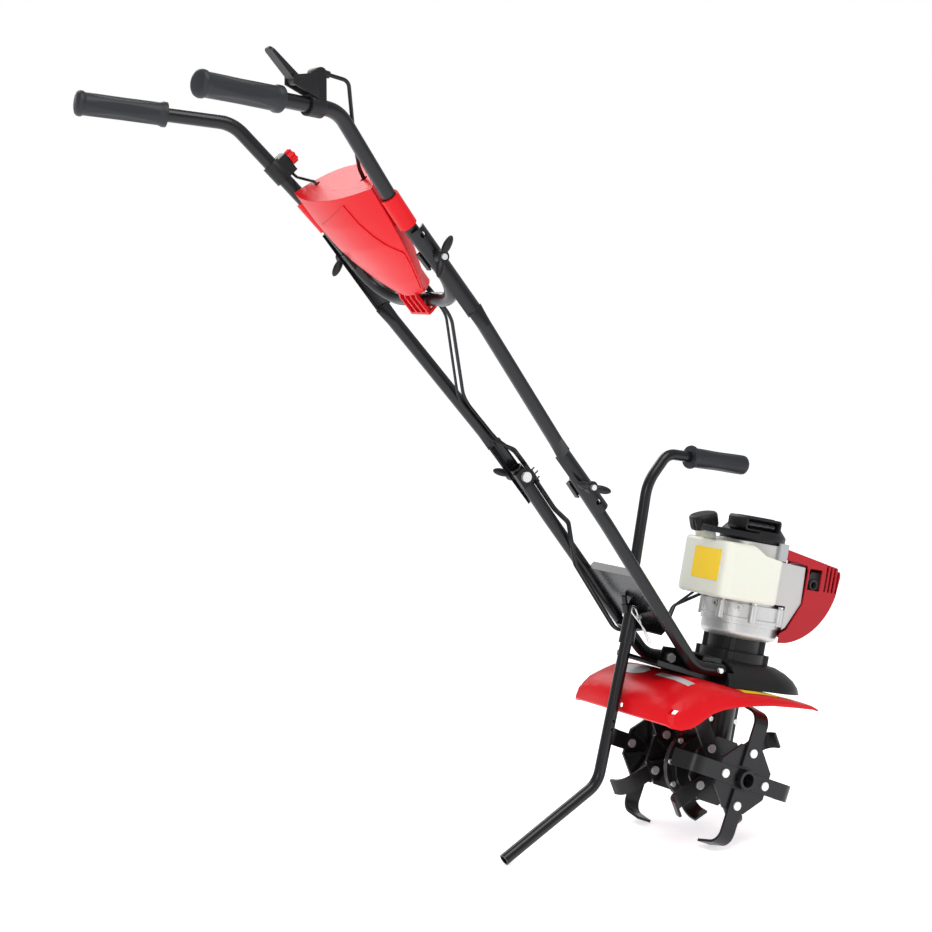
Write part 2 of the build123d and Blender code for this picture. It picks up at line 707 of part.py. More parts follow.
# Worm gear and clutch drum
def make_worm_gear():
    pitch_radius = MODULE * WHEEL_TEETH / 2
    slope = tan(radians(FLANK))
    root_half = TOOTH_SHARE * PITCH_P / 2 + DEDENDUM * slope
    tip_half = TOOTH_SHARE * PITCH_P / 2 - ADDENDUM * slope
    outline = []
    for i in range(WHEEL_TEETH):
        middle = 2 * pi * (i + 0.5) / WHEEL_TEETH
        for half, radius in (
            (-root_half, pitch_radius - DEDENDUM),
            (-tip_half, pitch_radius + ADDENDUM),
            (tip_half, pitch_radius + ADDENDUM),
            (root_half, pitch_radius - DEDENDUM),
        ):
            a = middle + half / radius
            outline.append((radius * cos(a), radius * sin(a)))
    wheel = side_plate(outline, -WHEEL_WIDTH / 2, WHEEL_WIDTH / 2)
    wheel -= cross_rod(0, 0, -WHEEL_WIDTH, WHEEL_WIDTH, AXLE_RADIUS + RUNNING)
    add("worm_wheel", LEAN * wheel)

    core = WORM_RADIUS - DEDENDUM
    tip = WORM_RADIUS + ADDENDUM
    length = WORM_TURNS * PITCH_P
    low = -length / 2
    helix = Helix(pitch=PITCH_P, height=length, radius=WORM_RADIUS, center=(0, 0, low))
    root_in = core - THREAD_ROOT
    root_edge = root_half + THREAD_ROOT * slope
    face = make_face(
        Polyline(
            (root_in, 0, low - root_edge),
            (tip, 0, low - tip_half),
            (tip, 0, low + tip_half),
            (root_in, 0, low + root_edge),
            close=True,
        )
    )
    shaft = cylinder(core, low - 2 * PAST, -low + 2 * PAST)
    shaft += sweep(face, path=helix, is_frenet=True)
    shaft += cylinder(SHAFT_RADIUS, COLUMN_LOW + CASE_WALL + FIT, DRUM_LOW + DRUM_WALL + 5 * PAST)
    add("worm_shaft", ENGINE * shaft)
    drum = ring(DRUM_RADIUS, DRUM_RADIUS - DRUM_WALL, DRUM_LOW, DRUM_LOW + DRUM_HIGH)
    drum += ring(DRUM_RADIUS, SHAFT_RADIUS, DRUM_LOW, DRUM_LOW + DRUM_WALL)
    bearing_top = CLUTCH_BASE + CLUTCH_WALL + BEARING_HIGH
    drum += ring(SHAFT_RADIUS + DRUM_WALL, SHAFT_RADIUS, bearing_top + FIT, DRUM_LOW)
    add("clutch_drum", ENGINE * drum)
    return low


# Gear case
def make_gear_case(worm_low):
    top = FLOOR_Z - FIT
    bush_end = CASE_HALF + BUSH_OUT
    bush_radius = AXLE_RADIUS + BUSH_WALL
    case = cross_rod(0, 0, -CASE_HALF, CASE_HALF, CASE_RADIUS)
    case += cross_rod(0, 0, -FLANGE_HALF, FLANGE_HALF, CASE_FLANGE)
    case += cross_rod(0, 0, -bush_end, bush_end, bush_radius + CASE_WALL)
    case += cylinder(COLUMN_RADIUS, COLUMN_LOW, top, DRIVE_X)
    case += cylinder(COLUMN_FLANGE, top - COLUMN_FLANGE_HIGH, top, DRIVE_X)
    web = COLUMN_BOLT + SMALL_HEAD
    case += block(DRIVE_X - web, DRIVE_X + web, -FLANGE_HALF, FLANGE_HALF, 0, top - COLUMN_FLANGE_HIGH)
    hollow = CASE_HALF - CASE_WALL
    case -= cross_rod(0, 0, -hollow, hollow, CASE_RADIUS - CASE_WALL)
    case -= cross_rod(0, 0, -bush_end - PAST, bush_end + PAST, bush_radius)
    case -= cylinder(BEARING_RADIUS, COLUMN_LOW + CASE_WALL, top + PAST, DRIVE_X)
    places = [round_place(CASE_BOLT_CIRCLE, angle) for angle in CASE_BOLT_ANGLES]
    places += [(DRIVE_X + dx, z) for z in COLUMN_BOLT_Z for dx in (-COLUMN_BOLT, COLUMN_BOLT)]
    bolts = []
    for x, z in places:
        case -= cross_rod(x, z, -FLANGE_HALF - PAST, FLANGE_HALF + PAST, SMALL_BOLT)
        ends = (x, -FLANGE_HALF, z), (x, FLANGE_HALF + SHEET, z)
        bolts.append(LEAN * hex_bolt(*ends, SMALL_BOLT, SMALL_HEAD, SMALL_HEAD_HIGH))
    add("gearcase_right", LEAN * (case & block(-FAR, FAR, -FAR, 0, -FAR, FAR)))
    add("gearcase_left", LEAN * (case & block(-FAR, FAR, 0, FAR, -FAR, FAR)))

    bearings = []
    for side in (-1, 1):
        ends = sorted((side * (WHEEL_WIDTH / 2 + PAST), side * bush_end))
        bush = cross_rod(0, 0, *ends, bush_radius)
        bearings.append(bush - cross_rod(0, 0, ends[0] - PAST, ends[1] + PAST, AXLE_RADIUS + RUNNING))
    for low in (COLUMN_LOW + CASE_WALL, -worm_low + 4 * PAST, CLUTCH_BASE + CLUTCH_WALL):
        bearings.append(ring(BEARING_RADIUS, SHAFT_RADIUS + RUNNING, low, low + BEARING_HIGH, DRIVE_X))
    for low in (CASTING_LOW + CASTING_WALL, CASTING_TOP - CASTING_WALL - BEARING_HIGH):
        race = ring(BEARING_RADIUS + DRUM_WALL, CRANK_RADIUS + RUNNING, low, low + BEARING_HIGH, DRIVE_X)
        bearings.append(race)
    add("bearings", *[LEAN * b for b in bearings])
    return bolts


# Frame bracket, fender and skirt
def floor_at(x):
    if x >= FRAME_BEND:
        return FLOOR_Z
    return FLOOR_Z + FRAME_REAR_LIFT * (FRAME_BEND - x) / (FRAME_BEND - FRAME_REAR)


def make_frame():
    under = [(x, floor_at(x)) for x in (FRAME_REAR, FRAME_BEND, FRAME_FRONT)]
    floor = under + [(x, z + SHEET) for x, z in under[::-1]]
    ear_back = FRAME_BOLT_X - EAR_BACK
    wall = under + [
        (FRAME_FRONT, FLOOR_Z + FRAME_WALL),
        (FRAME_BOLT_X + EAR_AHEAD, FLOOR_Z + FRAME_WALL),
        (FRAME_BOLT_X + EAR_AHEAD - FRAME_LIP, FRAME_BOLT_Z + EAR_ABOVE),
        (ear_back, FRAME_BOLT_Z + EAR_ABOVE),
        (ear_back - FRAME_LIP, floor_at(ear_back - FRAME_LIP) + FRAME_LIP),
        (FRAME_REAR, floor_at(FRAME_REAR) + FRAME_LIP),
    ]
    frame = side_plate(floor, -FRAME_HALF, FRAME_HALF)
    for y0 in (-FRAME_HALF, FRAME_HALF - SHEET):
        frame += side_plate(wall, y0, y0 + SHEET)
    frame -= cylinder(BEARING_RADIUS + FIT, FLOOR_Z - PAST, FLOOR_Z + SHEET + PAST, DRIVE_X)
    through = FRAME_HALF + PAST
    frame -= cross_rod(FRAME_BOLT_X, FRAME_BOLT_Z, -through, through, BOLT_HOLE)
    add("frame_bracket", LEAN * frame)
    bolts = []
    reach = FRAME_HALF + 2 * TUBE_RADIUS + FIT + FRAME_BOLT_HEAD
    for side in (-1, 1):
        start = (FRAME_BOLT_X, side * (FRAME_HALF - SHEET), FRAME_BOLT_Z)
        end = (FRAME_BOLT_X, side * reach, FRAME_BOLT_Z)
        bolts.append(LEAN * hex_bolt(start, end, BOLT_RADIUS, BOLT_HEAD, FRAME_BOLT_HEAD))
    return bolts


def fender_section(x, half, low, shoulder, top):
    deck_y = FRAME_HALF + FENDER_FLAT
    side = [(half, low)]
    for angle in FENDER_CURVE:
        a = radians(angle)
        y = deck_y + (half - deck_y) * abs(cos(a)) ** FENDER_BULGE
        side.append((y, shoulder + (top - shoulder) * sin(a) ** FENDER_BULGE))
    points = [(x, -y, z) for y, z in side] + [(x, y, z) for y, z in side[::-1]]
    return make_face(Polyline(*points, close=True))


def make_fender():
    wall = FENDER_WALL
    outside = []
    inside = []
    for i, (x, inset, drop, edge) in enumerate(FENDER_STATIONS):
        half = FENDER_HALF - inset
        top = floor_at(x) - FIT - drop
        low = FLOOR_Z - edge
        lip = low + min(FENDER_LIP, (top - low) / 2)
        outside.append(fender_section(x, half, low, lip, top))
        x_in = x + wall if i == 0 or x < FENDER_TURN else x
        inside.append(fender_section(x_in, half - wall, low - 2 * FENDER_LIP, lip - wall / 2, top - wall))
    fender = loft(outside, ruled=True) - loft(inside, ruled=True)
    fender -= cylinder(COLUMN_FLANGE + wall, 0, FLOOR_Z + wall, DRIVE_X)
    rear = FENDER_STATIONS[-1][0] - wall
    for y, below in FENDER_SLOTS:
        z = FLOOR_Z - below
        ends = (y - SLOT_LONG / 2, y + SLOT_LONG / 2, z - SLOT_HIGH / 2, z + SLOT_HIGH / 2)
        fender -= block(rear, rear + SLOT_AHEAD, *ends)
    add("fender", LEAN * fender)


def skirt_section(z, half, middle, rear):
    edge = Curve() + [
        Line((rear, -half, z), (middle, -half, z)),
        ThreePointArc((middle, -half, z), (middle + half, 0, z), (middle, half, z)),
        Line((middle, half, z), (rear, half, z)),
        Line((rear, half, z), (rear, -half, z)),
    ]
    return make_face(edge)


def make_skirt():
    low = FLOOR_Z + FIT
    wall = SKIRT_WALL
    outside = []
    inside = []
    for f in SKIRT_LEVELS:
        half = (FRAME_HALF + SKIRT_SIDE) * (1 - SKIRT_TUCK * f * f) ** 0.5
        middle = DRIVE_X + (SKIRT_MIDDLE - DRIVE_X) * (1 - f) ** SKIRT_LEAN
        outside.append(skirt_section(low + SKIRT_RISE * f, half, middle, SKIRT_REAR))
        z_in = low - PAST + (SKIRT_RISE + PAST - wall) * f
        inside.append(skirt_section(z_in, half - wall, middle, SKIRT_REAR + wall))
    skirt = loft(outside, ruled=True) - loft(inside, ruled=True)
    skirt += cylinder(COLLAR_RADIUS, low + SKIRT_RISE - wall, COLLAR_TOP, DRIVE_X)
    for angle in CLUTCH_BOSSES:
        x, y = round_place(COLLAR_RADIUS, angle)
        skirt += cylinder(BOSS_RADIUS, low + SKIRT_RISE - wall, COLLAR_TOP, DRIVE_X + x, y)
    skirt -= cylinder(CLUTCH_RADIUS + FIT, low - PAST, COLLAR_TOP + PAST, DRIVE_X)
    room = FRAME_HALF + FIT + 2 * TUBE_RADIUS + TUBE_ROOM
    ear_top = FRAME_BOLT_Z + EAR_ABOVE + FIT
    skirt -= block(SKIRT_REAR - PAST, FRAME_BOLT_X + EAR_AHEAD + TUBE_ROOM, -room, room, low - PAST, ear_top)
    inner_room = FRAME_HALF + FIT
    wall_top = FLOOR_Z + FRAME_WALL + FIT
    skirt -= block(SKIRT_REAR, FRAME_FRONT + FIT, -inner_room, inner_room, low - PAST, wall_top)
    add("drive_skirt", LEAN * skirt)


# Clutch housing and castings
def oval(radius, low, high):
    slot = SlotCenterToCenter(CASTING_REACH, 2 * radius)
    return Pos(CASTING_REACH / 2, 0, low) * extrude(slot, amount=high - low)


def casting_place(angle):
    x, y = round_place(CASTING_NECK + SMALL_HEAD + FIT, angle)
    return (x + CASTING_REACH if x > 0 else x), y


def make_castings():
    housing = ring(CLUTCH_RADIUS, CLUTCH_RADIUS - CLUTCH_WALL, CLUTCH_BASE, CASTING_LOW)
    housing += ring(CLUTCH_RADIUS, BEARING_RADIUS, CLUTCH_BASE, CLUTCH_BASE + CLUTCH_WALL)
    seat_top = CLUTCH_BASE + CLUTCH_WALL + BEARING_HIGH
    housing += ring(BEARING_RADIUS + CLUTCH_WALL, BEARING_RADIUS, CLUTCH_BASE, seat_top)
    for angle in CLUTCH_BOSSES:
        x, y = round_place(CLUTCH_RADIUS + PAST, angle)
        boss = cylinder(BOSS_RADIUS, COLLAR_TOP + FIT, CASTING_LOW, x, y)
        housing += boss - cylinder(CLUTCH_RADIUS - CLUTCH_WALL, COLLAR_TOP, CASTING_LOW)
    add("clutch_housing", ENGINE * housing)

    seat = BEARING_RADIUS + DRUM_WALL
    cover = oval(CASTING_RADIUS, CASTING_LOW, CASTING_SEAM)
    cover = fillet(cover.edges().group_by(Axis.Z)[0], CASTING_ROUND)
    cover += oval(CASTING_RADIUS + CASE_RIM, CASTING_SEAM - CASE_RIM_HIGH, CASTING_SEAM)
    cover -= cylinder(CASTING_HOLLOW, CASTING_LOW + CASTING_WALL + BEARING_HIGH, CASTING_SEAM + PAST)
    cover -= cylinder(seat, CASTING_LOW + CASTING_WALL, CASTING_SEAM)
    cover -= cylinder(CRANK_RADIUS + PAST, CASTING_LOW - PAST, CASTING_SEAM)
    add("crankcase_cover", ENGINE * cover)

    crankcase = oval(CASTING_RADIUS + CASE_RIM, CASTING_SEAM, CASTING_SEAM + CASE_RIM_HIGH)
    crankcase += oval(CASTING_RADIUS, CASTING_SEAM, CASTING_SHOULDER)
    crankcase += cylinder(CASTING_NECK, CASTING_SHOULDER, CASTING_TOP)
    start = CASTING_RADIUS - CASTING_WALL
    end = CYLINDER_LENGTH
    crankcase += rod((start, 0, CYLINDER_Z), (end, 0, CYLINDER_Z), CYLINDER_RADIUS)
    first_fin = CASTING_RADIUS + CASTING_REACH + CASE_RIM + FIT
    step = (end - first_fin) / FINS
    fin = (-FIN_HALF, FIN_HALF, CYLINDER_Z - FIN_HALF, CYLINDER_Z + FIN_HALF)
    for i in range(FINS):
        x = first_fin + step * i
        crankcase += block(x, x + FIN_THICK, *fin)
    crankcase -= cylinder(CASTING_HOLLOW, CASTING_SEAM - PAST, CASTING_TOP - CASTING_WALL - BEARING_HIGH)
    crankcase -= cylinder(seat, CASTING_SEAM, CASTING_TOP - CASTING_WALL)
    crankcase -= cylinder(CRANK_RADIUS + PAST, CASTING_SEAM, CASTING_TOP + PAST)
    crankcase -= rod((WEB_RADIUS, 0, CYLINDER_Z), (end - HEAD_THICK, 0, CYLINDER_Z), BORE_RADIUS)
    crankcase -= rod((end - HEAD_THICK - PAST, 0, CYLINDER_Z), (end + PAST, 0, CYLINDER_Z), PLUG_RADIUS)
    crankcase -= oval(CASTING_RADIUS + CASE_RIM + FIT, 0, CASTING_SEAM)
    screws = []
    for angle in CASE_SCREWS:
        x, y = casting_place(angle)
        boss = cylinder(BOSS_RADIUS, CASTING_SEAM, CASTING_SHOULDER, x, y)
        crankcase += boss - cylinder(CASTING_HOLLOW, 0, FAR)
        deep = CASTING_SHOULDER - SMALL_DEEP
        crankcase -= cylinder(SMALL_BOLT, deep, CASTING_SHOULDER + PAST, x, y)
        ends = (x, y, CASTING_SHOULDER), (x, y, deep)
        screws.append(ENGINE * hex_bolt(*ends, SMALL_BOLT, SMALL_HEAD, SMALL_HEAD_HIGH))
    boss_z = CASTING_SHOULDER - BOSS_RADIUS
    for angle in SIDE_BOSSES:
        inner = round_place(CASTING_RADIUS - CASTING_WALL, angle)
        outer = round_place(CASTING_RADIUS + BOSS_RADIUS, angle)
        crankcase += rod((*inner, boss_z), (*outer, boss_z), BOSS_RADIUS - PAST)
        crankcase -= rod((*round_place(CASTING_RADIUS, angle), boss_z), (*outer, boss_z), SMALL_BOLT)
    add("cylinder_block", ENGINE * crankcase)
    return screws


# Turning parts of the engine
def make_crank():
    low = DRUM_LOW + DRUM_WALL + 6 * PAST
    crank = cylinder(CRANK_RADIUS, low, CRANK_TOP)
    web_low = CASTING_LOW + CASTING_WALL + BEARING_HIGH + 2 * PAST
    web_high = CASTING_TOP - CASTING_WALL - BEARING_HIGH - 2 * PAST
    crank -= cylinder(CRANK_RADIUS + PAST, web_low + WEB_HIGH, web_high - WEB_HIGH)
    for z in (web_low, web_high - WEB_HIGH):
        web = cylinder(WEB_RADIUS, z, z + WEB_HIGH)
        web &= block(-FAR, CRANK_THROW - PAST, -FAR, FAR, z, z + WEB_HIGH)
        crank += web + cylinder(WEB_EYE, z, z + WEB_HIGH, CRANK_THROW)
    crank += cylinder(CRANK_PIN, web_low, web_high, CRANK_THROW)
    add("crankshaft", ENGINE * crank)

    bore = CRANK_RADIUS
    rim_top = FLYWHEEL_LOW + FLYWHEEL_HIGH
    wheel = ring(FLYWHEEL_RADIUS, bore, FLYWHEEL_LOW, rim_top)
    half = FAN_THICK / 2
    vane = block(FAN_INNER, FLYWHEEL_RADIUS - PAST, -half, half, rim_top, rim_top + FAN_HIGH)
    for i in range(FAN_BLADES):
        wheel += Rot(0, 0, 360 / FAN_BLADES * i) * vane
    wheel += ring(bore + BEARING_HIGH, bore, FLYWHEEL_LOW, rim_top + FAN_HIGH)
    add("flywheel", ENGINE * wheel)

    shoe_radius = DRUM_RADIUS - DRUM_WALL - SHOE_GAP
    z0 = DRUM_LOW + 2 * DRUM_WALL
    z1 = DRUM_LOW + DRUM_HIGH - 2 * PAST
    lining = ring(shoe_radius, CRANK_RADIUS, z0 + DRUM_WALL, z1)
    lining -= block(-FAR, FAR, -SHOE_SLOT, SHOE_SLOT, z0, z1 + PAST)
    lining += ring(shoe_radius - 2 * SHOE_SLOT, CRANK_RADIUS, z1 - DRUM_WALL, z1 + DRUM_WALL)
    add("clutch_shoes", ENGINE * lining)


# Cooling shroud, cover, latch, exhaust and spark plug, drawn ahead of the crankshaft
def raised(points):
    return [(x, z + CASTING_LOW) for x, z in points]


def cover_profile(y, inset):
    top = [(x, y, z - inset) for x, z in raised(COVER_TOP)]
    nose = [(x - inset, y, z - inset) for x, z in raised(COVER_NOSE)]
    belly = [(x - inset, y, z + inset) for x, z in raised(COVER_BELLY)]
    nose[0] = top[-1]
    foot = (COVER_FOOT[0], y, COVER_FOOT[1] + CASTING_LOW + inset)
    edge = Curve() + [
        Line(*top),
        ThreePointArc(*nose),
        Line(nose[-1], belly[0]),
        ThreePointArc(*belly),
        Line(belly[-1], foot),
    ]
    return edge, foot, top[0]


def make_engine_covers():
    step = CASTING_TOP - SHROUD_STEP
    inside = SHROUD_RADIUS - SHROUD_WALL
    shroud = ring(SHROUD_RADIUS, inside, step, SHROUD_TOP)
    front = side_plate(raised(SHROUD_SIDE), -SHROUD_RADIUS, SHROUD_RADIUS)
    side_top = CASTING_LOW + SHROUD_SIDE[0][1] - 2 * SHROUD_WALL
    front -= block(-PAST, FAR, -inside, inside, 0, side_top)
    front -= cylinder(inside, 0, FAR)
    shroud += front
    shroud -= oval(CASTING_RADIUS + BOSS_RADIUS + 2 * PAST, 0, step)
    fins = FIN_HALF + CASTING_WALL
    shroud -= block(CASTING_RADIUS / 2, FAR, -fins, fins, 0, CYLINDER_Z + FIN_HALF + PAST)
    add("heat_shroud", ENGINE * shroud)

    edge, foot, start = cover_profile(-COVER_HALF, 0.0)
    cover = extrude(make_face(edge + [Line(foot, start)]), amount=2 * COVER_HALF, dir=(0, 1, 0))
    mouth = [COVER_FOOT, *COVER_MOUTH, COVER_TOP[0], (-FAR, COVER_TOP[0][1]), (-FAR, COVER_FOOT[1])]
    cover -= side_plate(raised(mouth), -FAR, FAR)
    w = COVER_WALL
    edge, foot, start = cover_profile(-COVER_HALF + w, w)
    room_edge = edge + [Line(foot, start)]
    cover -= extrude(make_face(room_edge), amount=2 * (COVER_HALF - w), dir=(0, 1, 0))
    for i in range(GRILLE_SLOTS):
        x = GRILLE_X + GRILLE_STEP * i
        low = CASTING_LOW + GRILLE_LOW
        for y0, y1 in ((-FAR, GRILLE_DEEP - COVER_HALF), (COVER_HALF - GRILLE_DEEP, FAR)):
            cover -= block(x, x + GRILLE_WIDE, y0, y1, low, FAR)
    x0, x1, z0, z1 = WINDOW
    cover -= block(x0, x1, -FAR, -COVER_HALF + GRILLE_DEEP, CASTING_LOW + z0, CASTING_LOW + z1)
    cover -= oval(CASTING_RADIUS + BOSS_RADIUS + 2 * PAST, 0, CASTING_TOP)
    cover -= cylinder(SHROUD_RADIUS + FIT, 0, FAR)
    port = INTAKE_PORT + CLUTCH_WALL
    port_x = INTAKE_X - DRIVE_X
    cover -= block(port_x - port, port_x + port, inside, FAR, INTAKE_Z - port, INTAKE_Z + port)
    add("engine_cover", ENGINE * cover)

    x0, x1, z0, z1 = LATCH
    sides = (-SHROUD_RADIUS - LATCH_OUT, LATCH_DEEP - SHROUD_RADIUS)
    latch = block(x0, x1, *sides, CASTING_LOW + z0, CASTING_LOW + z1)
    latch -= cylinder(SHROUD_RADIUS + FIT, 0, FAR)
    add("cover_latch", ENGINE * latch)

    x0, x1, y0, y1 = MUFFLER
    low = CYLINDER_Z + FIN_HALF + SHEET
    muffler = block(x0, x1, y0, y1, low, low + MUFFLER_HIGH)
    muffler = chamfer(muffler.edges().filter_by(Axis.Y), MUFFLER_EDGE)
    out = (x0 + OUTLET_X, low + OUTLET_UP)
    muffler += cross_rod(*out, y0 - OUTLET_RADIUS / 2, y0, OUTLET_RADIUS)
    muffler -= cross_rod(*out, y0 - OUTLET_RADIUS, y0 + OUTLET_RADIUS, OUTLET_BORE)
    port_y = (y0 + y1) / 2 + PORT_RADIUS
    muffler += cylinder(PORT_RADIUS, low - SHEET, low + PAST, x0 + PORT_RADIUS, port_y)
    add("muffler", ENGINE * muffler)

    end = CYLINDER_LENGTH
    hex_end = end + PLUG_RADIUS
    tip_end = hex_end + PLUG_RADIUS
    plug = rod((end - HEAD_THICK, 0, CYLINDER_Z), (end, 0, CYLINDER_Z), PLUG_RADIUS)
    plug += hex_bolt((end, 0, CYLINDER_Z), (end - PAST, 0, CYLINDER_Z), PLUG_RADIUS, 9 * PAST, PLUG_RADIUS)
    plug += rod((hex_end, 0, CYLINDER_Z), (tip_end, 0, CYLINDER_Z), PLUG_RADIUS - PAST)
    ends = (hex_end + 2 * PAST, 0, CYLINDER_Z), (tip_end + 3 * PAST, 0, CYLINDER_Z)
    cap = rod(*ends, PLUG_RADIUS + 2 * PAST)
    cap -= rod((hex_end, 0, CYLINDER_Z), (tip_end, 0, CYLINDER_Z), PLUG_RADIUS - PAST)
    add("spark_plug", ENGINE * plug, ENGINE * cap)


def make_intake():
    x, z = INTAKE_X, INTAKE_Z
    back = CARB_Y + CARB_DEEP
    carburettor = block(x - CARB_HALF, x + CARB_HALF, CARB_Y, back, z - CARB_DOWN, z + CARB_UP)
    carburettor += cross_rod(x, z, FIN_HALF, CARB_Y, INTAKE_PORT)
    carburettor -= cross_rod(x, z, FIN_HALF - PAST, back + PAST, INTAKE_BORE)
    hole_low = z + CARB_UP / 2 - PAST
    carburettor -= cylinder(SPINDLE_RADIUS, hole_low, z + CARB_UP + PAST, x, ARM_Y)
    stop = x + CABLE_STOP
    arms = (ARM_Y - STOP_HALF, ARM_Y + STOP_HALF)
    carburettor += block(stop, x - CARB_HALF + PAST, *arms, hole_low, hole_low + STOP_THICK)
    carburettor += block(stop, stop + STOP_THICK, *arms, hole_low, z + CABLE_UP + STOP_HALF)
    add("carburettor", LEAN * carburettor)
    lever_z = z + ARM_UP
    half = STOP_HALF - 2 * PAST
    arm = cylinder(SPINDLE_RADIUS - RUNNING, hole_low + FIT, lever_z + 2 * ARM_THICK, x, ARM_Y)
    arm += block(x - ARM_REACH, x + half, ARM_Y - half, ARM_Y + half, lever_z, lever_z + ARM_THICK)
    knuckle_x = x - ARM_REACH + half
    arm += cylinder(SPINDLE_RADIUS, lever_z + PAST, lever_z + ARM_THICK + half, knuckle_x, ARM_Y)
    add("throttle_arm", LEAN * arm)
    x0, x1, z0, z1 = CLEANER
    w = CLEANER_WALL
    box = block(x + x0, x + x1, back, back + CLEANER_DEEP, z + z0, z + z1)
    box = fillet(box.edges().filter_by(Axis.Y), CLEANER_CORNER)
    box -= block(x + x0 + w, x + x1 - w, back + w, back + CLEANER_DEEP - w, z + z0 + w, z + z1 - w)
    box -= cross_rod(x, z, back - PAST, back + 2 * w, INTAKE_BORE)
    add("air_cleaner", LEAN * box)


# Fuel tank and its cap, drawn about the crankshaft
def tank_shape(inset):
    low, high = TANK_LOW + inset, TANK_TOP - inset
    tank = block(TANK_REAR + inset, TANK_FRONT - inset, inset - TANK_RIGHT, TANK_LEFT - inset, low, high)
    upright = tank.edges().filter_by(Axis.Z).sort_by(Axis.X)
    rear = upright[:2].sort_by(Axis.Y)
    front = upright[2:].sort_by(Axis.Y)
    tank = fillet(rear[1:], TANK_CORNER_LEFT - inset)
    upright = tank.edges().filter_by(Axis.Z)
    right = [e for e in upright if e.center().Y < front[0].center().Y + FIT]
    tank = fillet(right, TANK_CORNER_RIGHT - inset)
    levels = tank.edges().group_by(Axis.Z)
    tank = fillet(levels[0] + levels[-1], TANK_EDGE - inset / 2)
    room = SHROUD_RADIUS + TANK_ROOM + inset
    tank -= cylinder(room, 0, FAR)
    tank -= block(0, FAR, -room, FAR, 0, FAR)
    tank -= block(TANK_LEFT_FRONT - inset, FAR, 0, FAR, 0, FAR)
    dip = [(x - inset / 2, TANK_TOP - drop - inset) for x, drop in TANK_DIP]
    dip += [(dip[-1][0], FAR), (dip[0][0], FAR)]
    return tank - side_plate(dip, -FAR, TANK_DIP_Y)


def make_tank():
    neck_place = Pos(CAP_X, CAP_Y, TANK_TOP) * Rot(0, CAP_TILT, 0)
    tank = tank_shape(0.0)
    tank += neck_place * cylinder(NECK_RADIUS, -NECK_RADIUS + TANK_WALL, NECK_UP)
    tank -= tank_shape(TANK_WALL)
    tank -= neck_place * cylinder(NECK_RADIUS - TANK_WALL, -NECK_RADIUS - TANK_WALL, NECK_UP + PAST)
    add("fuel_tank", ENGINE * tank)
    cap = cylinder(CAP_RADIUS, CAP_UP, CAP_UP + CAP_HIGH)
    cap -= cylinder(NECK_RADIUS + FIT, CAP_UP - PAST, NECK_UP + FIT)
    rib = cylinder(CAP_RIB, CAP_UP + CAP_RIB, CAP_UP + CAP_HIGH - CAP_RIB, CAP_RADIUS)
    for i in range(CAP_RIBS):
        cap += Rot(0, 0, 360 / CAP_RIBS * i) * rib
    add("fuel_cap", ENGINE * (neck_place * cap))


# Recoil starter
def make_recoil():
    low = SHROUD_TOP + FIT
    shoulder = SHROUD_TOP + RECOIL_BASE
    top = shoulder + RECOIL_HIGH
    housing = cylinder(RECOIL_RADIUS, low, shoulder)
    housing += Pos(0, 0, (shoulder + top) / 2) * Cone(RECOIL_RADIUS, RECOIL_CROWN, RECOIL_HIGH)
    beam = block(BEAM_REAR, 0, BEAM_Y - BEAM_HALF, BEAM_Y + BEAM_HALF, low + BEAM_LOW, low + BEAM_HIGH)
    housing += fillet(beam.edges().filter_by(Axis.Z).sort_by(Axis.X)[:2], BEAM_EDGE)
    x = -REEL_RADIUS
    bezel = block(x - BEZEL_HALF, x + BEZEL_HALF, -BEZEL_OUT, 0, ROPE_Z - BEZEL_LOW, ROPE_Z + BEZEL_HIGH)
    housing += fillet(bezel.edges().filter_by(Axis.Y), BEZEL_CORNER)
    housing -= cylinder(RECOIL_RADIUS - RECOIL_WALL, low - PAST, shoulder - RECOIL_WALL)
    cavity = REEL_RADIUS + REEL_ROOM
    housing -= cylinder(cavity, shoulder - RECOIL_WALL - PAST, top - RECOIL_WALL)
    half = GRIP_BAR_LENGTH / 2 + FIT + PAST
    pocket_y = -BEZEL_OUT + POCKET_DEEP
    housing -= block(x - half, x + half, -FAR, pocket_y, ROPE_Z - POCKET_HIGH, ROPE_Z + POCKET_HIGH)
    housing -= cross_rod(x, ROPE_Z, pocket_y - PAST, 0, ROPE_RADIUS + ROPE_ROOM)
    add("recoil_housing", ENGINE * housing)

    flange = REEL_RADIUS + REEL_FLANGE
    reel = cylinder(REEL_RADIUS - ROPE_RADIUS, ROPE_Z - REEL_HALF, ROPE_Z + REEL_HALF)
    reel += cylinder(flange, ROPE_Z - REEL_HALF - REEL_FLANGE, ROPE_Z - REEL_HALF)
    reel += cylinder(flange, ROPE_Z + REEL_HALF, ROPE_Z + REEL_HALF + REEL_FLANGE)
    reel += cylinder(CRANK_RADIUS - 2 * PAST, CRANK_TOP + FIT, ROPE_Z - REEL_HALF)
    add("starter_pulley", ENGINE * reel)
    bar_y = pocket_y - GRIP_BAR_RADIUS - FIT
    bar_half = GRIP_BAR_LENGTH / 2 - GRIP_BAR_RADIUS
    bar = rod((x - bar_half, bar_y, ROPE_Z), (x + bar_half, bar_y, ROPE_Z), GRIP_BAR_RADIUS)
    for end in (x - bar_half, x + bar_half):
        bar += Pos(end, bar_y, ROPE_Z) * Sphere(GRIP_BAR_RADIUS)
    add("starter_grip", ENGINE * bar)
    rope = cross_rod(x, ROPE_Z, bar_y, 0, ROPE_RADIUS - RUNNING)
    add("starter_rope", ENGINE * (rope - bar))


# Handle geometry
def slope_point(start, slope, run):
    a = radians(slope)
    return (start[0] - run * cos(a), start[1] + run * sin(a))


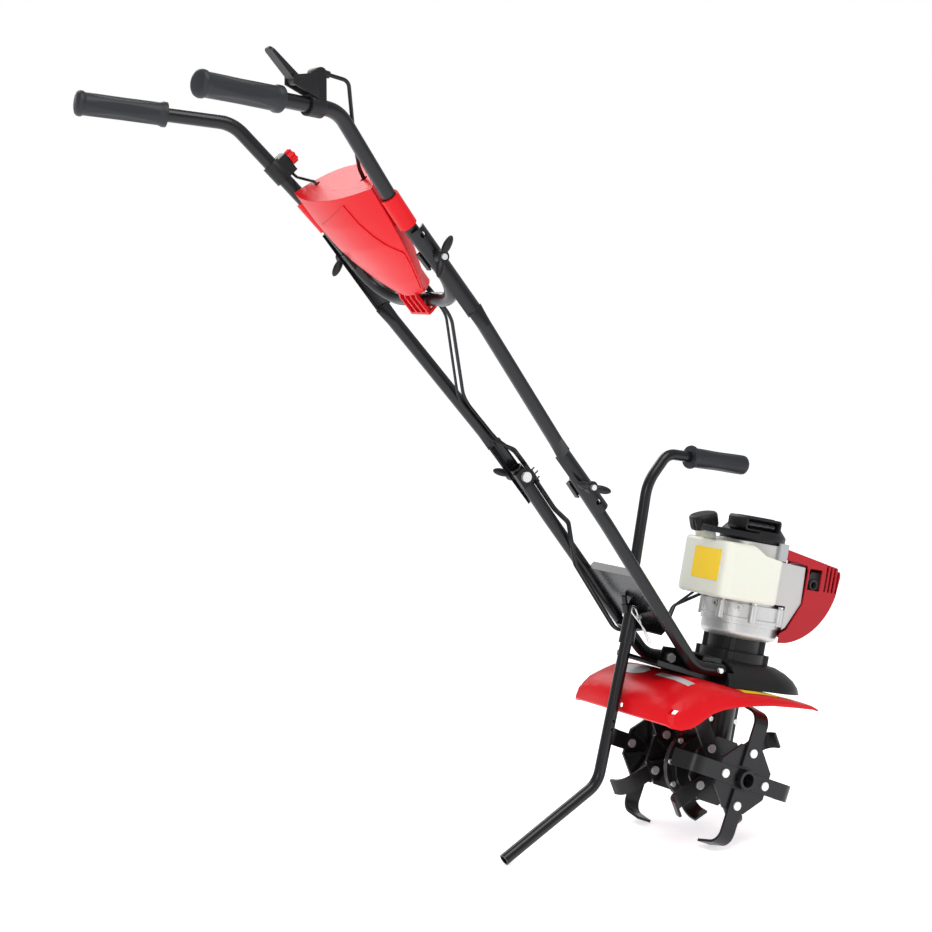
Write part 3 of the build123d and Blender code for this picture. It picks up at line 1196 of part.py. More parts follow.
J2 = (LOWER_JOINT_X, LOWER_JOINT_Z)
J1 = slope_point(J2, MIDDLE_SLOPE, MIDDLE_LENGTH)
GRIP_CORNER = slope_point(J1, UPPER_SLOPE, UPPER_RUN)
U_BAR = slope_point(J1, UPPER_SLOPE, -U_BAR_DROP)
UPPER_KINK = slope_point(J1, UPPER_SLOPE, UPPER_STRAIGHT)
GRIP_CORNER_Y = UPPER_JOINT_Y + UPPER_SPREAD
GRIP_END = (GRIP_CORNER[0] - GRIP_BACK, GRIP_CORNER_Y + GRIP_SPREAD, GRIP_CORNER[1] + GRIP_RISE)
LOW_BASE = LOWER_JOINT_Y + TUBE_RADIUS + FIT  # inner face of the flattened ends
HIGH_BASE = UPPER_JOINT_Y + TUBE_RADIUS + FIT
HANDLE_PLANE = Plane(
    origin=(J1[0], 0, J1[1]),
    x_dir=(cos(radians(UPPER_SLOPE)), 0, -sin(radians(UPPER_SLOPE))),
    z_dir=(sin(radians(UPPER_SLOPE)), 0, cos(radians(UPPER_SLOPE))),
)
HANDLE = HANDLE_PLANE.location


def upper_tube_y(s):
    run = -s
    if run <= UPPER_STRAIGHT:
        return UPPER_JOINT_Y
    return UPPER_JOINT_Y + UPPER_SPREAD * (run - UPPER_STRAIGHT) / (UPPER_RUN - UPPER_STRAIGHT)


def upper_tube(radius, bore=0.0):
    right = [
        (GRIP_END[0], -GRIP_END[1], GRIP_END[2]),
        (GRIP_CORNER[0], -GRIP_CORNER_Y, GRIP_CORNER[1]),
        (UPPER_KINK[0], -UPPER_JOINT_Y, UPPER_KINK[1]),
        (U_BAR[0], -UPPER_JOINT_Y, U_BAR[1]),
    ]
    points = right + [(x, -y, z) for x, y, z in right[::-1]]
    radii = [GRIP_BEND, UPPER_SWEEP, U_BEND, U_BEND, UPPER_SWEEP, GRIP_BEND]
    return bent_rod(points, radii, radius, bore)


def make_upper_handle():
    tube = upper_tube(TUBE_RADIUS, TUBE_BORE)
    for side in (-1, 1):
        ends = sorted(side * (UPPER_JOINT_Y + d) for d in (-2 * TUBE_RADIUS, 2 * TUBE_RADIUS))
        tube -= cross_rod(J1[0], J1[1], *ends, BOLT_HOLE)
    add("upper_handle", tube)
    end = Vector(GRIP_END[0], -GRIP_END[1], GRIP_END[2])
    way = (Vector(GRIP_CORNER[0], -GRIP_CORNER_Y, GRIP_CORNER[1]) - end).normalized()
    start = end - way * GRIP_END_WALL
    grip = Solid.make_cylinder(GRIP_RADIUS, GRIP_LENGTH, Plane(origin=start, z_dir=way))
    for place in (0.0, GRIP_LENGTH - GRIP_FLANGE_LONG):
        flange = Plane(origin=start + way * place, z_dir=way)
        grip += Solid.make_cylinder(GRIP_FLANGE, GRIP_FLANGE_LONG, flange)
    grip -= Solid.make_cylinder(TUBE_RADIUS, GRIP_LENGTH, Plane(origin=end, z_dir=way))
    add("handle_grips", *both_sides(grip))


def crescent_face():
    inner = CRESCENT_WIDE - CRESCENT_WALL
    edge = Curve() + [
        Line((-CRESCENT_WIDE, 0), (-inner, 0)),
        ThreePointArc((-inner, 0), (0, CRESCENT_DEEP - CRESCENT_WALL), (inner, 0)),
        Line((inner, 0), (CRESCENT_WIDE, 0)),
        ThreePointArc((CRESCENT_WIDE, 0), (0, CRESCENT_DEEP), (-CRESCENT_WIDE, 0)),
    ]
    return make_face(edge)


def taper(start, end, way):
    wide = Plane(origin=start, x_dir=(0, 1, 0), z_dir=way) * Circle(TUBE_RADIUS)
    flat = Ellipse(CRESCENT_DEEP / 2, CRESCENT_WIDE - FIT)
    return loft([wide, Plane(origin=end, x_dir=(0, 1, 0), z_dir=way) * flat])


def make_middle_tubes():
    a = radians(MIDDLE_SLOPE)
    up = Vector(-cos(a), 0, sin(a))
    face = crescent_face()
    low_joint = Vector(J2[0], LOW_BASE, J2[1])
    high_joint = Vector(J1[0], HIGH_BASE, J1[1])

    def crescent(joint, above, below):
        plane = Plane(origin=joint - up * below, x_dir=up.cross(Vector(0, 1, 0)), z_dir=up)
        local = face if plane.y_dir.Y > 0 else Rot(0, 0, 180) * face
        return extrude(plane * local, amount=below + above)

    tube = crescent(low_joint, *LOWER_CRESCENT) + crescent(high_joint, *UPPER_CRESCENT)
    middle = Vector(0, CRESCENT_DEEP / 2, 0)
    low_end = low_joint + up * (LOWER_CRESCENT[0] - CRESCENT_JOIN) + middle
    high_end = high_joint - up * (UPPER_CRESCENT[1] - CRESCENT_JOIN) + middle
    way = (high_end - low_end).normalized()
    tube_low = low_end + way * TAPER
    tube_high = high_end - way * TAPER
    tube += taper(tube_low, low_end, way * -1)
    tube += taper(tube_high, high_end, way)
    span = (tube_high - tube_low).length
    tube += Solid.make_cylinder(TUBE_RADIUS, span, Plane(origin=tube_low, z_dir=way))
    inside = Plane(origin=tube_low + way * TUBE_WALL, z_dir=way)
    tube -= Solid.make_cylinder(TUBE_BORE, span - 2 * TUBE_WALL, inside)
    for joint, rise in ((J1, 0.0), (J1, UPPER_SPARE), (J2, 0.0), (J2, -LOWER_SPARE)):
        x, z = joint[0] + up.X * rise, joint[1] + up.Z * rise
        tube -= cross_rod(x, z, LOW_BASE - PAST, HIGH_BASE + 2 * CRESCENT_DEEP, BOLT_HOLE)
    add("middle_tubes", mirror(tube, about=Plane.XZ), tube)


def joint_hardware(name, joint, tube_y, slope, nut_names, nut_turn):
    inner = tube_y - TUBE_RADIUS
    outer = tube_y + TUBE_RADIUS + FIT + CRESCENT_DEEP
    head_y = inner - SADDLE_THICK
    place = Pos(joint[0], 0, joint[1])
    cheek = TUBE_RADIUS + 2 * RUNNING
    saddle = block(-SADDLE_LONG, SADDLE_LONG, head_y, inner, -cheek - SADDLE_THICK, cheek + SADDLE_THICK)
    for z in (-cheek - SADDLE_THICK, cheek):
        saddle += block(-SADDLE_LONG, SADDLE_LONG, head_y, inner + SADDLE_LIP, z, z + SADDLE_THICK)
    saddle -= cross_rod(0, 0, head_y - PAST, inner + PAST, BOLT_HOLE)
    saddle = place * Rot(0, slope, 0) * saddle
    bolt = cross_rod(0, 0, head_y - BOLT_HEAD_HIGH, head_y, BOLT_HEAD)
    bolt = place * (bolt + cross_rod(0, 0, head_y, outer + NUT_HIGH + NUT_PAST, BOLT_RADIUS))
    add(name, *both_sides(saddle), *both_sides(bolt))
    base = outer + FIT
    nut = cross_rod(0, 0, base, base + NUT_HIGH, NUT_RADIUS)
    wing = block(WING_ROOT, WING_REACH, 0, WING_HIGH, -WING_THICK / 2, WING_THICK / 2)
    wing = fillet(wing.edges().filter_by(Axis.Z).sort_by(Axis.X)[-2:], WING_CORNER)
    wing = Pos(0, base, 0) * Pos(WING_ROOT, 0, 0) * Rot(0, 0, WING_SPLAY) * Pos(-WING_ROOT, 0, 0) * wing
    for side in (0, 180):
        nut += Rot(0, side, 0) * wing
    nut -= cross_rod(0, 0, outer, outer + 2 * NUT_HIGH, BOLT_RADIUS + RUNNING)
    nut = place * Rot(0, nut_turn, 0) * nut
    add(nut_names[0], mirror(nut, about=Plane.XZ))
    add(nut_names[1], nut)


# Lower handle: two tubes, the cross plate with its stake sleeve, the stake and the carry handle
def make_lower_handle():
    end = body_point(FRAME_BOLT_X + FRAME_TUBE_END, 0, FRAME_BOLT_Z)
    bolt = body_point(FRAME_BOLT_X, 0, FRAME_BOLT_Z)
    frame_y = FRAME_HALF + TUBE_RADIUS + FIT
    top = slope_point(J2, LOWER_SLOPE, LOWER_TOP)
    kink = slope_point(J2, LOWER_SLOPE, -LOWER_CRESCENT[1] - LOWER_STRAIGHT)
    a = radians(LOWER_SLOPE)
    # where the sloping run meets the line of the frame
    fall = tan(radians(BODY_PITCH))
    run = (J2[1] - end[2] - fall * (end[0] - J2[0])) / (sin(a) - fall * cos(a))
    corner = slope_point(J2, LOWER_SLOPE, -run)
    points = [
        (top[0], LOWER_JOINT_Y, top[1]),
        (kink[0], LOWER_JOINT_Y, kink[1]),
        (corner[0], frame_y, corner[1]),
        (end[0], frame_y, end[2]),
    ]
    tube = bent_rod(points, [LOWER_SWEEP, LOWER_BEND], TUBE_RADIUS, TUBE_BORE)
    for x, y, z in ((J2[0], LOWER_JOINT_Y, J2[1]), (bolt[0], frame_y, bolt[2])):
        tube -= cross_rod(x, z, y - 2 * TUBE_RADIUS, y + 2 * TUBE_RADIUS, BOLT_HOLE)
    add("lower_tubes", mirror(tube, about=Plane.XZ), tube)
    return points


def tube_y_at(points, x):
    kink, corner = points[1], points[2]
    share = (x - kink[0]) / (corner[0] - kink[0])
    return kink[1] + (corner[1] - kink[1]) * share


def stake_point(z):
    return (STAKE_X + (z - STAKE_PIN_Z) * tan(radians(STAKE_LEAN)), 0, z)


def clip_point(down, behind, y):
    a = radians(CLIP_SLOPE)
    return (STAKE_X + down * cos(a) - behind * sin(a), y, STAKE_PIN_Z - down * sin(a) - behind * cos(a))


CLIP_Y = -SLEEVE_RADIUS - CLIP_AWAY


def make_stake(points):
    a = radians(LOWER_SLOPE)
    plate_top = slope_point(J2, LOWER_SLOPE, -PLATE_TOP)
    place = Plane(
        origin=(plate_top[0], 0, plate_top[1]),
        x_dir=(cos(a), 0, -sin(a)),
        z_dir=(sin(a), 0, cos(a)),
    ).location
    half_top = tube_y_at(points, plate_top[0]) - TUBE_RADIUS - FIT
    half_low = tube_y_at(points, plate_top[0] + PLATE_LENGTH * cos(a)) - TUBE_RADIUS - FIT
    outline = [(0, -half_top), (PLATE_LENGTH, -half_low), (PLATE_LENGTH, half_low), (0, half_top)]
    plate = extrude(make_face(Polyline(*outline, close=True)), amount=SHEET)
    plate += block(0, SHEET, -half_top, half_top, 0, PLATE_FLANGE)
    plate += block(PLATE_LENGTH - SHEET, PLATE_LENGTH, -half_low, half_low, -PLATE_FLANGE, SHEET)
    plate = place * plate
    foot = Vector(STAKE_X - STAY_BACK[0], 0, STAKE_PIN_Z + STAY_UP[0])
    head = Vector(STAKE_X - STAY_BACK[1], 0, STAKE_PIN_Z + STAY_UP[1])
    plate += rod(foot, head, STAY_RADIUS)
    plate += rod(foot, foot + (head - foot).normalized() * STAY_COLLAR_LONG, STAY_COLLAR)
    plate += rod(stake_point(STAKE_PIN_Z - SLEEVE_DOWN), stake_point(STAKE_PIN_Z + SLEEVE_UP), SLEEVE_RADIUS)
    plate -= rod(stake_point(-TINE_Z), stake_point(STAKE_PIN_Z + STAKE_ABOVE + FIT), STAKE_RADIUS + FIT)
    pin_start = CLIP_Y - PIN_END
    pin_end = SLEEVE_RADIUS + PAST
    hole = cross_rod(STAKE_X, STAKE_PIN_Z, pin_start, pin_end, PIN_RADIUS + RUNNING)
    add("cross_plate", plate - hole)

    top = stake_point(STAKE_PIN_Z + STAKE_ABOVE)
    bend = stake_point(STAKE_BEND_Z)
    foot_z = -TINE_Z + STAKE_RADIUS
    for _ in range(20):
        slope = (bend[2] - foot_z) / hypot(bend[0] - STAKE_FOOT_X, bend[2] - foot_z)
        foot_z = -TINE_Z + STAKE_RADIUS * (1 - slope * slope) ** 0.5
    foot = (STAKE_FOOT_X, 0, foot_z)
    stake = bent_rod([top, bend, foot], [STAKE_BEND], STAKE_RADIUS, STAKE_RADIUS - STAKE_WALL)
    stake -= hole
    for drop in STAKE_HOLES:
        x, y, z = stake_point(STAKE_PIN_Z - drop)
        stake -= cross_rod(x, z, -2 * STAKE_RADIUS, 2 * STAKE_RADIUS, STAKE_HOLE)
    add("drag_stake", stake)

    pin = cross_rod(STAKE_X, STAKE_PIN_Z, pin_start, pin_end, PIN_RADIUS)
    pin += cross_rod(STAKE_X, STAKE_PIN_Z, pin_end, pin_end + PIN_HEAD_HIGH, PIN_HEAD)
    ends = clip_point(-2 * PIN_RADIUS, 0, CLIP_Y), clip_point(2 * PIN_RADIUS, 0, CLIP_Y)
    return place, pin - rod(*ends, CLIP_WIRE + RUNNING)


def make_hitch_clip():
    points = [clip_point(CLIP_LEG, 0, CLIP_Y), clip_point(CLIP_NECK, 0, CLIP_Y)]
    over = (0.5, 1.0, 1.0, 1.0, 1.0)
    for (down, behind), share in zip(CLIP_LOOP, over):
        points.append(clip_point(down, behind, CLIP_Y - CLIP_STEP * share))
    add("hitch_clip", bent_rod(points, CLIP_BENDS, CLIP_WIRE))


def make_carry_handle(place):
    points = [(x, 0, z) for x, z in CARRY_POINTS]
    tube = bent_rod(points, CARRY_BENDS, CARRY_RADIUS, CARRY_RADIUS - CARRY_WALL)
    tube -= place * block(-PLATE_LENGTH, 2 * PLATE_LENGTH, -FRAME_HALF, FRAME_HALF, -PLATE_LENGTH, SHEET)
    add("carry_handle", tube)
    end = Vector(*points[-1])
    way = (Vector(*points[-2]) - end).normalized()
    start = end - way * GRIP_END_WALL
    grip = Solid.make_cylinder(CARRY_GRIP_RADIUS, CARRY_GRIP_LENGTH, Plane(origin=start, z_dir=way))
    inner = start + way * (CARRY_GRIP_LENGTH - CARRY_FLANGE_LONG)
    grip += Solid.make_cylinder(CARRY_FLANGE, CARRY_FLANGE_LONG, Plane(origin=inner, z_dir=way))
    grip -= Solid.make_cylinder(CARRY_RADIUS, CARRY_GRIP_LENGTH, Plane(origin=end, z_dir=way))
    add("carry_grip", grip)


# Console: an arched front shell over a rear shell, clipped to both side tubes
def arch(s, half, edge, middle, skirt):
    edge_line = Curve() + [
        ThreePointArc((s, -half, edge), (s, 0, middle), (s, half, edge)),
        Polyline((s, half, edge), (s, half, edge + skirt), (s, -half, edge + skirt), (s, -half, edge)),
    ]
    return make_face(edge_line)


def arched_shell(stations, wall, turn):
    outer = loft([arch(s, h, e, m, -CONSOLE_LIP * turn) for s, h, e, m in stations], ruled=True)
    inside = []
    for i, (s, h, e, m) in enumerate(stations):
        place = s
        if i == 0:
            place = s + wall
        if i == len(stations) - 1:
            place = s + PAST
        inside.append(arch(place, h - wall, e, m - wall * turn, -2 * wall * turn))
    return outer - loft(inside, ruled=True)


def make_console():
    front = arched_shell([(s, h, e, m) for s, h, e, m, d in CONSOLE], CONSOLE_WALL, 1)
    rear_stations = [(s, h, e - 2 * CONSOLE_LIP, e - d) for s, h, e, m, d in CONSOLE]
    rear = arched_shell(rear_stations, CONSOLE_WALL, -1)
    grip = TUBE_RADIUS + CLIP_WALL
    arm_in = CONSOLE[1][1] - 2 * CONSOLE_WALL - CLIP_ARM
    for side in (-1, 1):
        low = (-CLIP_LOW, side * upper_tube_y(-CLIP_LOW), 0)
        high = (-CLIP_HIGH, side * upper_tube_y(-CLIP_HIGH), 0)
        front += rod(low, high, grip)
        arm = sorted((side * arm_in, low[1]))
        front += block(-CLIP_HIGH + CLIP_ARM, -CLIP_LOW - CLIP_ARM, *arm, CLIP_ARM_Z, CLIP_ARM_Z + CLIP_ARM)
        rear -= rod((2 * CONSOLE[0][0], side * upper_tube_y(2 * CONSOLE[0][0]), 0), high, grip + FIT)
        rear -= rod(high, low, grip + FIT)
        rear -= rod(low, (U_BAR_DROP, side * UPPER_JOINT_Y, 0), grip + FIT)
    tubes = HANDLE.inverse() * upper_tube(TUBE_RADIUS + RUNNING)
    bar = U_BAR_DROP
    under = bar + TUBE_RADIUS
    hook = under + FIT + FIN_HOOK
    floor = FIN_FLOOR - FIN_DEEP
    fin = [
        (bar - FIN_BACK, floor + FIN_HOOK), (bar - FIN_DEEP, -FIN_DEEP), (hook, -FIN_DEEP), (hook, 0),
        (under + FIT, 0), (under + FIT, floor), (bar - FIN_DEEP, floor),
        (bar - FIN_BACK, floor + 2 * FIN_HOOK),
    ]
    for y in FIN_PLACES:
        rear += side_plate(fin, y - FIN_SHEET / 2, y + FIN_SHEET / 2)
    rear += block(under + FIT, hook, -TAB_HALF, TAB_HALF, -FIN_DEEP, floor + FIN_HOOK)
    rear -= tubes
    front -= tubes
    first = CONSOLE[0][0]
    for y, n, radius in ((THROTTLE_IN_Y, THROTTLE_IN_N, CABLE_RADIUS), (LEAD_IN_Y, LEAD_IN_N, LEAD_RADIUS)):
        front -= rod((2 * first, y, n), (first + 4 * CONSOLE_WALL, y, n), radius + CABLE_ROOM)
    add("console_rear", HANDLE * rear)
    add("console_front", HANDLE * front)


# Throttle lever and stop switch
def make_controls():
    corner = Vector(GRIP_CORNER[0], -GRIP_CORNER_Y, GRIP_CORNER[1])
    end = Vector(GRIP_END[0], -GRIP_END[1], GRIP_END[2])
    way = (end - corner).normalized()
    middle = corner + way * POD_BACK
    place = Pos(*middle)
    housing = rod(middle - way * POD_HALF, middle + way * POD_HALF, TUBE_RADIUS + POD_SHELL)
    pod = block(POD_REAR, POD_FRONT, -POD_HALF, POD_HALF, POD_SHELL, POD_UP)
    pod = fillet(pod.edges().filter_by(Axis.Y).sort_by(Axis.Z)[-2:], POD_EDGE)
    housing += place * pod
    lever_half = POD_HALF - 2 * RUNNING - PAST
    for y0 in (-POD_HALF - CHEEK_THICK + PAST, POD_HALF - PAST):
        cheek_front = POD_REAR + 4 * PAST
        cheek = [
            (cheek_front, CHEEK_HIGH), (CHEEK_REAR, LEVER_UP + CHEEK_EYE),
            (CHEEK_REAR, LEVER_UP - CHEEK_EYE), (cheek_front, CHEEK_LOW),
        ]
        housing += place * side_plate(cheek, y0, y0 + CHEEK_THICK)
    pivot = middle + Vector(-LEVER_BACK, 0, LEVER_UP)
    housing -= rod(corner - way * POD_HALF, end, TUBE_RADIUS + RUNNING)
    reach = POD_HALF + CHEEK_THICK
    housing -= cross_rod(pivot.X, pivot.Z, pivot.Y - reach, pivot.Y + reach, PIVOT_RADIUS + RUNNING)
    elbow = middle + Vector(POD_FRONT, 0, ELBOW_UP)
    housing += rod(elbow - ELBOW_RUN * 0.5, elbow + ELBOW_RUN, ELBOW_RADIUS)
    add("throttle_housing", housing)
    lever = cross_rod(0, 0, -reach + PAST, reach - PAST, PIVOT_RADIUS)
    lever += cross_rod(0, 0, -lever_half, lever_half, LEVER_EYE)
    outline = [
        (0, LEVER_ROOT / 2), (LEVER_LENGTH, LEVER_THICK / 2),
        (LEVER_LENGTH, -LEVER_THICK / 2), (0, -LEVER_ROOT / 2),
    ]
    paddle = side_plate(outline, -LEVER_WIDE / 2, LEVER_WIDE / 2)
    paddle = fillet(paddle.edges().filter_by(Axis.Z).sort_by(Axis.X)[-2:], LEVER_CORNER)
    add("throttle_lever", Pos(*pivot) * Rot(0, LEVER_TURN, 0) * (lever + paddle))

    y = upper_tube_y(SWITCH_S)
    start = (SWITCH_S + SWITCH_AHEAD, upper_tube_y(SWITCH_S + SWITCH_AHEAD), 0)
    stop = (SWITCH_S + SWITCH_BACK, upper_tube_y(SWITCH_S + SWITCH_BACK), 0)
    switch = rod(start, stop, TUBE_RADIUS + SWITCH_SHELL)
    sides = (y - SWITCH_HALF, y + SWITCH_HALF)
    switch += block(SWITCH_S + SWITCH_BACK, SWITCH_S + SWITCH_AHEAD, *sides, SWITCH_LOW, SWITCH_HIGH)
    far = (SWITCH_S - UPPER_STRAIGHT, upper_tube_y(SWITCH_S - UPPER_STRAIGHT), 0)
    near = (-UPPER_STRAIGHT, UPPER_JOINT_Y, 0)
    switch -= rod(near, far, TUBE_RADIUS + RUNNING)
    hole_low = SWITCH_HIGH - KNOB_DEEP
    switch -= cylinder(KNOB_SPINDLE + RUNNING, hole_low, SWITCH_HIGH + PAST, SWITCH_S, y)
    add("switch_housing", HANDLE * switch)
    top = SWITCH_HIGH + KNOB_HIGH
    knob = cylinder(KNOB_SPINDLE, hole_low + FIT, SWITCH_HIGH + PAST, SWITCH_S, y)
    knob += cylinder(KNOB_RADIUS, SWITCH_HIGH + FIT, top, SWITCH_S, y)
    for i in range(KNOB_FLUTES):
        dx, dy = round_place(KNOB_RADIUS, 360 / KNOB_FLUTES * i)
        knob -= cylinder(KNOB_FLUTE, SWITCH_HIGH + KNOB_RIM, top + PAST, SWITCH_S + dx, y + dy)
    add("switch_knob", HANDLE * knob)
    return elbow + ELBOW_RUN


# Control cables, laid with straight runs and round bends
def along(joint, slope, s, y, n):
    a = radians(slope)
    return (joint[0] + s * cos(a) + n * sin(a), y, joint[1] - s * sin(a) + n * cos(a))


def on_upper(s, y, n):
    return along(J1, UPPER_SLOPE, s, y, n)


def on_middle(s, y, n):
    return along(J1, MIDDLE_SLOPE, s, y, n)


def on_lower(s, y, n):
    return along(J2, LOWER_SLOPE, s, y, n)


def beside_middle(s, n, radius):
    low = LOW_BASE + CRESCENT_DEEP / 2
    high = HIGH_BASE + CRESCENT_DEEP / 2
    first = UPPER_CRESCENT[1] - CRESCENT_JOIN
    last = MIDDLE_LENGTH - LOWER_CRESCENT[0] + CRESCENT_JOIN
    y = high + (low - high) * (s - first) / (last - first)
    away = TUBE_RADIUS + radius + TIE_GAP
    return on_middle(s, y - (away * away - n * n) ** 0.5, n)


def make_cables(elbow):
    x, z = INTAKE_X, INTAKE_Z
    first = CONSOLE[0][0]
    upper_throttle = [
        tuple(elbow), tuple(elbow + ELBOW_RUN * 3),
        on_upper(BESIDE_S, BESIDE_IN - upper_tube_y(BESIDE_S), BESIDE_N),
        on_upper(first - UPPER_OUT[0], THROTTLE_IN_Y - ENTRY_SIDE, THROTTLE_IN_N + ENTRY_UP),
    ]
    upper_throttle += [on_upper(s, -CABLE_PAIR, n) for s, n in CABLE_TAIL]
    lead_y = upper_tube_y(SWITCH_S) - LEAD_SIDE[0]
    upper_lead = [
        on_upper(SWITCH_S + SWITCH_AHEAD, lead_y, LEAD_N),
        on_upper(first - UPPER_OUT[1], lead_y - LEAD_SIDE[1], LEAD_N),
        on_upper(first - UPPER_OUT[2], LEAD_IN_Y + LEAD_SIDE[1], LEAD_IN_N),
    ]
    upper_lead += [on_upper(s, CABLE_PAIR, n) for s, n in CABLE_TAIL]
    add(
        "control_cables_upper",
        bent_rod(upper_throttle, THROTTLE_UPPER_BENDS, CABLE_RADIUS),
        bent_rod(upper_lead, LEAD_UPPER_BENDS, LEAD_RADIUS),
    )
    top, low = MIDDLE_LENGTH - TIE_TOP, MIDDLE_LENGTH - TIE_LOW
    middle_throttle = [beside_middle(s, TIE_N, CABLE_RADIUS) for s in (top, low)]
    middle_lead = [beside_middle(s, -TIE_N, LEAD_RADIUS) for s in (top, low)]
    add("control_cables_middle", rod(*middle_throttle, CABLE_RADIUS), rod(*middle_lead, LEAD_RADIUS))
    above, below = TIE_RUN
    bend_throttle = [
        upper_throttle[-1], on_upper(CROSS_S + CROSS_RUN[0], -CABLE_PAIR, CROSS_N),
        beside_middle(top - above[0], TIE_N, CABLE_RADIUS), middle_throttle[0],
    ]
    bend_lead = [
        upper_lead[-1], on_upper(CROSS_S + CROSS_RUN[1], CABLE_PAIR, CROSS_N),
        beside_middle(top - above[1], -TIE_N, LEAD_RADIUS), middle_lead[0],
    ]
    add(
        "cables_bend_upper",
        bent_rod(bend_throttle, THROTTLE_CROSS_BENDS, CABLE_RADIUS),
        bent_rod(bend_lead, LEAD_CROSS_BENDS, LEAD_RADIUS),
    )
    y0, y1 = JOINT_Y
    stop = x + CABLE_STOP
    lower_throttle = [
        on_lower(LOWER_START, y0, JOINT_N), on_lower(LOWER_START + JOINT_RUN[0], y0, JOINT_N),
        *[on_lower(*p) for p in THROTTLE_FALL], THROTTLE_LOW, *[body_point(*p) for p in THROTTLE_RISE],
        body_point(stop - STOP_RUN, ARM_Y, z + CABLE_UP), body_point(stop, ARM_Y, z + CABLE_UP),
    ]
    lead_x = DRIVE_X - REEL_RADIUS
    wall_y = (SHROUD_RADIUS**2 - REEL_RADIUS**2) ** 0.5 + PAST
    end_z = CASTING_TOP + LEAD_END_UP
    lower_lead = [
        on_lower(LOWER_START, y1, JOINT_N), on_lower(LOWER_START + JOINT_RUN[1], y1, JOINT_N),
        *[on_lower(*p) for p in LEAD_FALL], LEAD_LOW, *[body_point(*p) for p in LEAD_RISE],
        body_point(lead_x - LEAD_END_BACK, LEAD_END_Y[0], CASTING_TOP),
        body_point(lead_x, LEAD_END_Y[1], end_z), body_point(lead_x, wall_y, end_z),
    ]
    add(
        "control_cables_lower",
        bent_rod(lower_throttle, THROTTLE_LOWER_BENDS, CABLE_RADIUS),
        bent_rod(lower_lead, LEAD_LOWER_BENDS, LEAD_RADIUS),
    )
    # the last run of each bend lies in line with the cable below it
    fall_throttle = [
        middle_throttle[-1], beside_middle(low + below[0], TIE_N, CABLE_RADIUS),
        on_middle(MIDDLE_LENGTH - MIDDLE_OUT[0], y0, JOINT_N), on_lower(-JOINT_BACK, y0, JOINT_N), lower_throttle[0],
    ]
    fall_lead = [
        middle_lead[-1], beside_middle(low + below[1], -TIE_N, LEAD_RADIUS),
        on_middle(MIDDLE_LENGTH - MIDDLE_OUT[1], y1, JOINT_N), on_lower(-JOINT_BACK, y1, JOINT_N), lower_lead[0],
    ]
    add(
        "cables_bend_lower",
        bent_rod(fall_throttle, THROTTLE_FALL_BENDS, CABLE_RADIUS),
        bent_rod(fall_lead, LEAD_FALL_BENDS, LEAD_RADIUS),
    )


def make_all():
    make_rotor()
    fasteners = make_gear_case(make_worm_gear())
    fasteners += make_frame()
    make_fender()
    make_skirt()
    fasteners += make_castings()
    make_crank()
    make_engine_covers()
    make_intake()
    make_tank()
    make_recoil()
    make_upper_handle()
    make_middle_tubes()
    upper_nuts = ("wing_nut_upper_right", "wing_nut_upper_left")
    lower_nuts = ("wing_nut_lower_right", "wing_nut_lower_left")
    joint_hardware("upper_joint_hardware", J1, UPPER_JOINT_Y, UPPER_SLOPE, upper_nuts, UPPER_NUT_TURN)
    joint_hardware("lower_joint_hardware", J2, LOWER_JOINT_Y, LOWER_SLOPE, lower_nuts, LOWER_NUT_TURN)
    place, pin = make_stake(make_lower_handle())
    fasteners.append(pin)
    make_hitch_clip()
    make_carry_handle(place)
    make_console()
    make_cables(make_controls())
    add("fasteners", *fasteners)


def write_parts():
    os.makedirs("parts", exist_ok=True)
    shift = Pos(TINE_X, 0, TINE_Z)
    boxes = []
    for name, solids in nodes.items():
        moved = [shift * s for s in solids]
        whole = moved[0] if len(moved) == 1 else Compound(children=moved)
        export_step(whole, f"parts/{name}.step")
        print(name, len(moved))
        boxes.append(whole.bounding_box())
    low = [min(b.min.X for b in boxes), min(b.min.Y for b in boxes), min(b.min.Z for b in boxes)]
    high = [max(b.max.X for b in boxes), max(b.max.Y for b in boxes), max(b.max.Z for b in boxes)]
    print("box", [round(v, 3) for v in low], [round(v, 3) for v in high])


make_all()
write_parts()
print("tine axle height", round(TINE_Z, 3), "drive offset", DRIVE_X)
print("upper joint", J1, "lower joint", J2)
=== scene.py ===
# %% [markdown]
# # A mini tiller, dressed for the studio
# The solid model of the machine comes in as a fixed frame: every tube, casting and blade is already in its
# place, in metres. This lesson gives each of them its finish and adds what a solid model leaves out, such
# as fluted grips, cable ties and blank labels.

# %% Load the frame
import json
from math import cos, pi, radians, sin

import bmesh
import bpy
from mathutils import Matrix, Vector
from mathutils.bvhtree import BVHTree


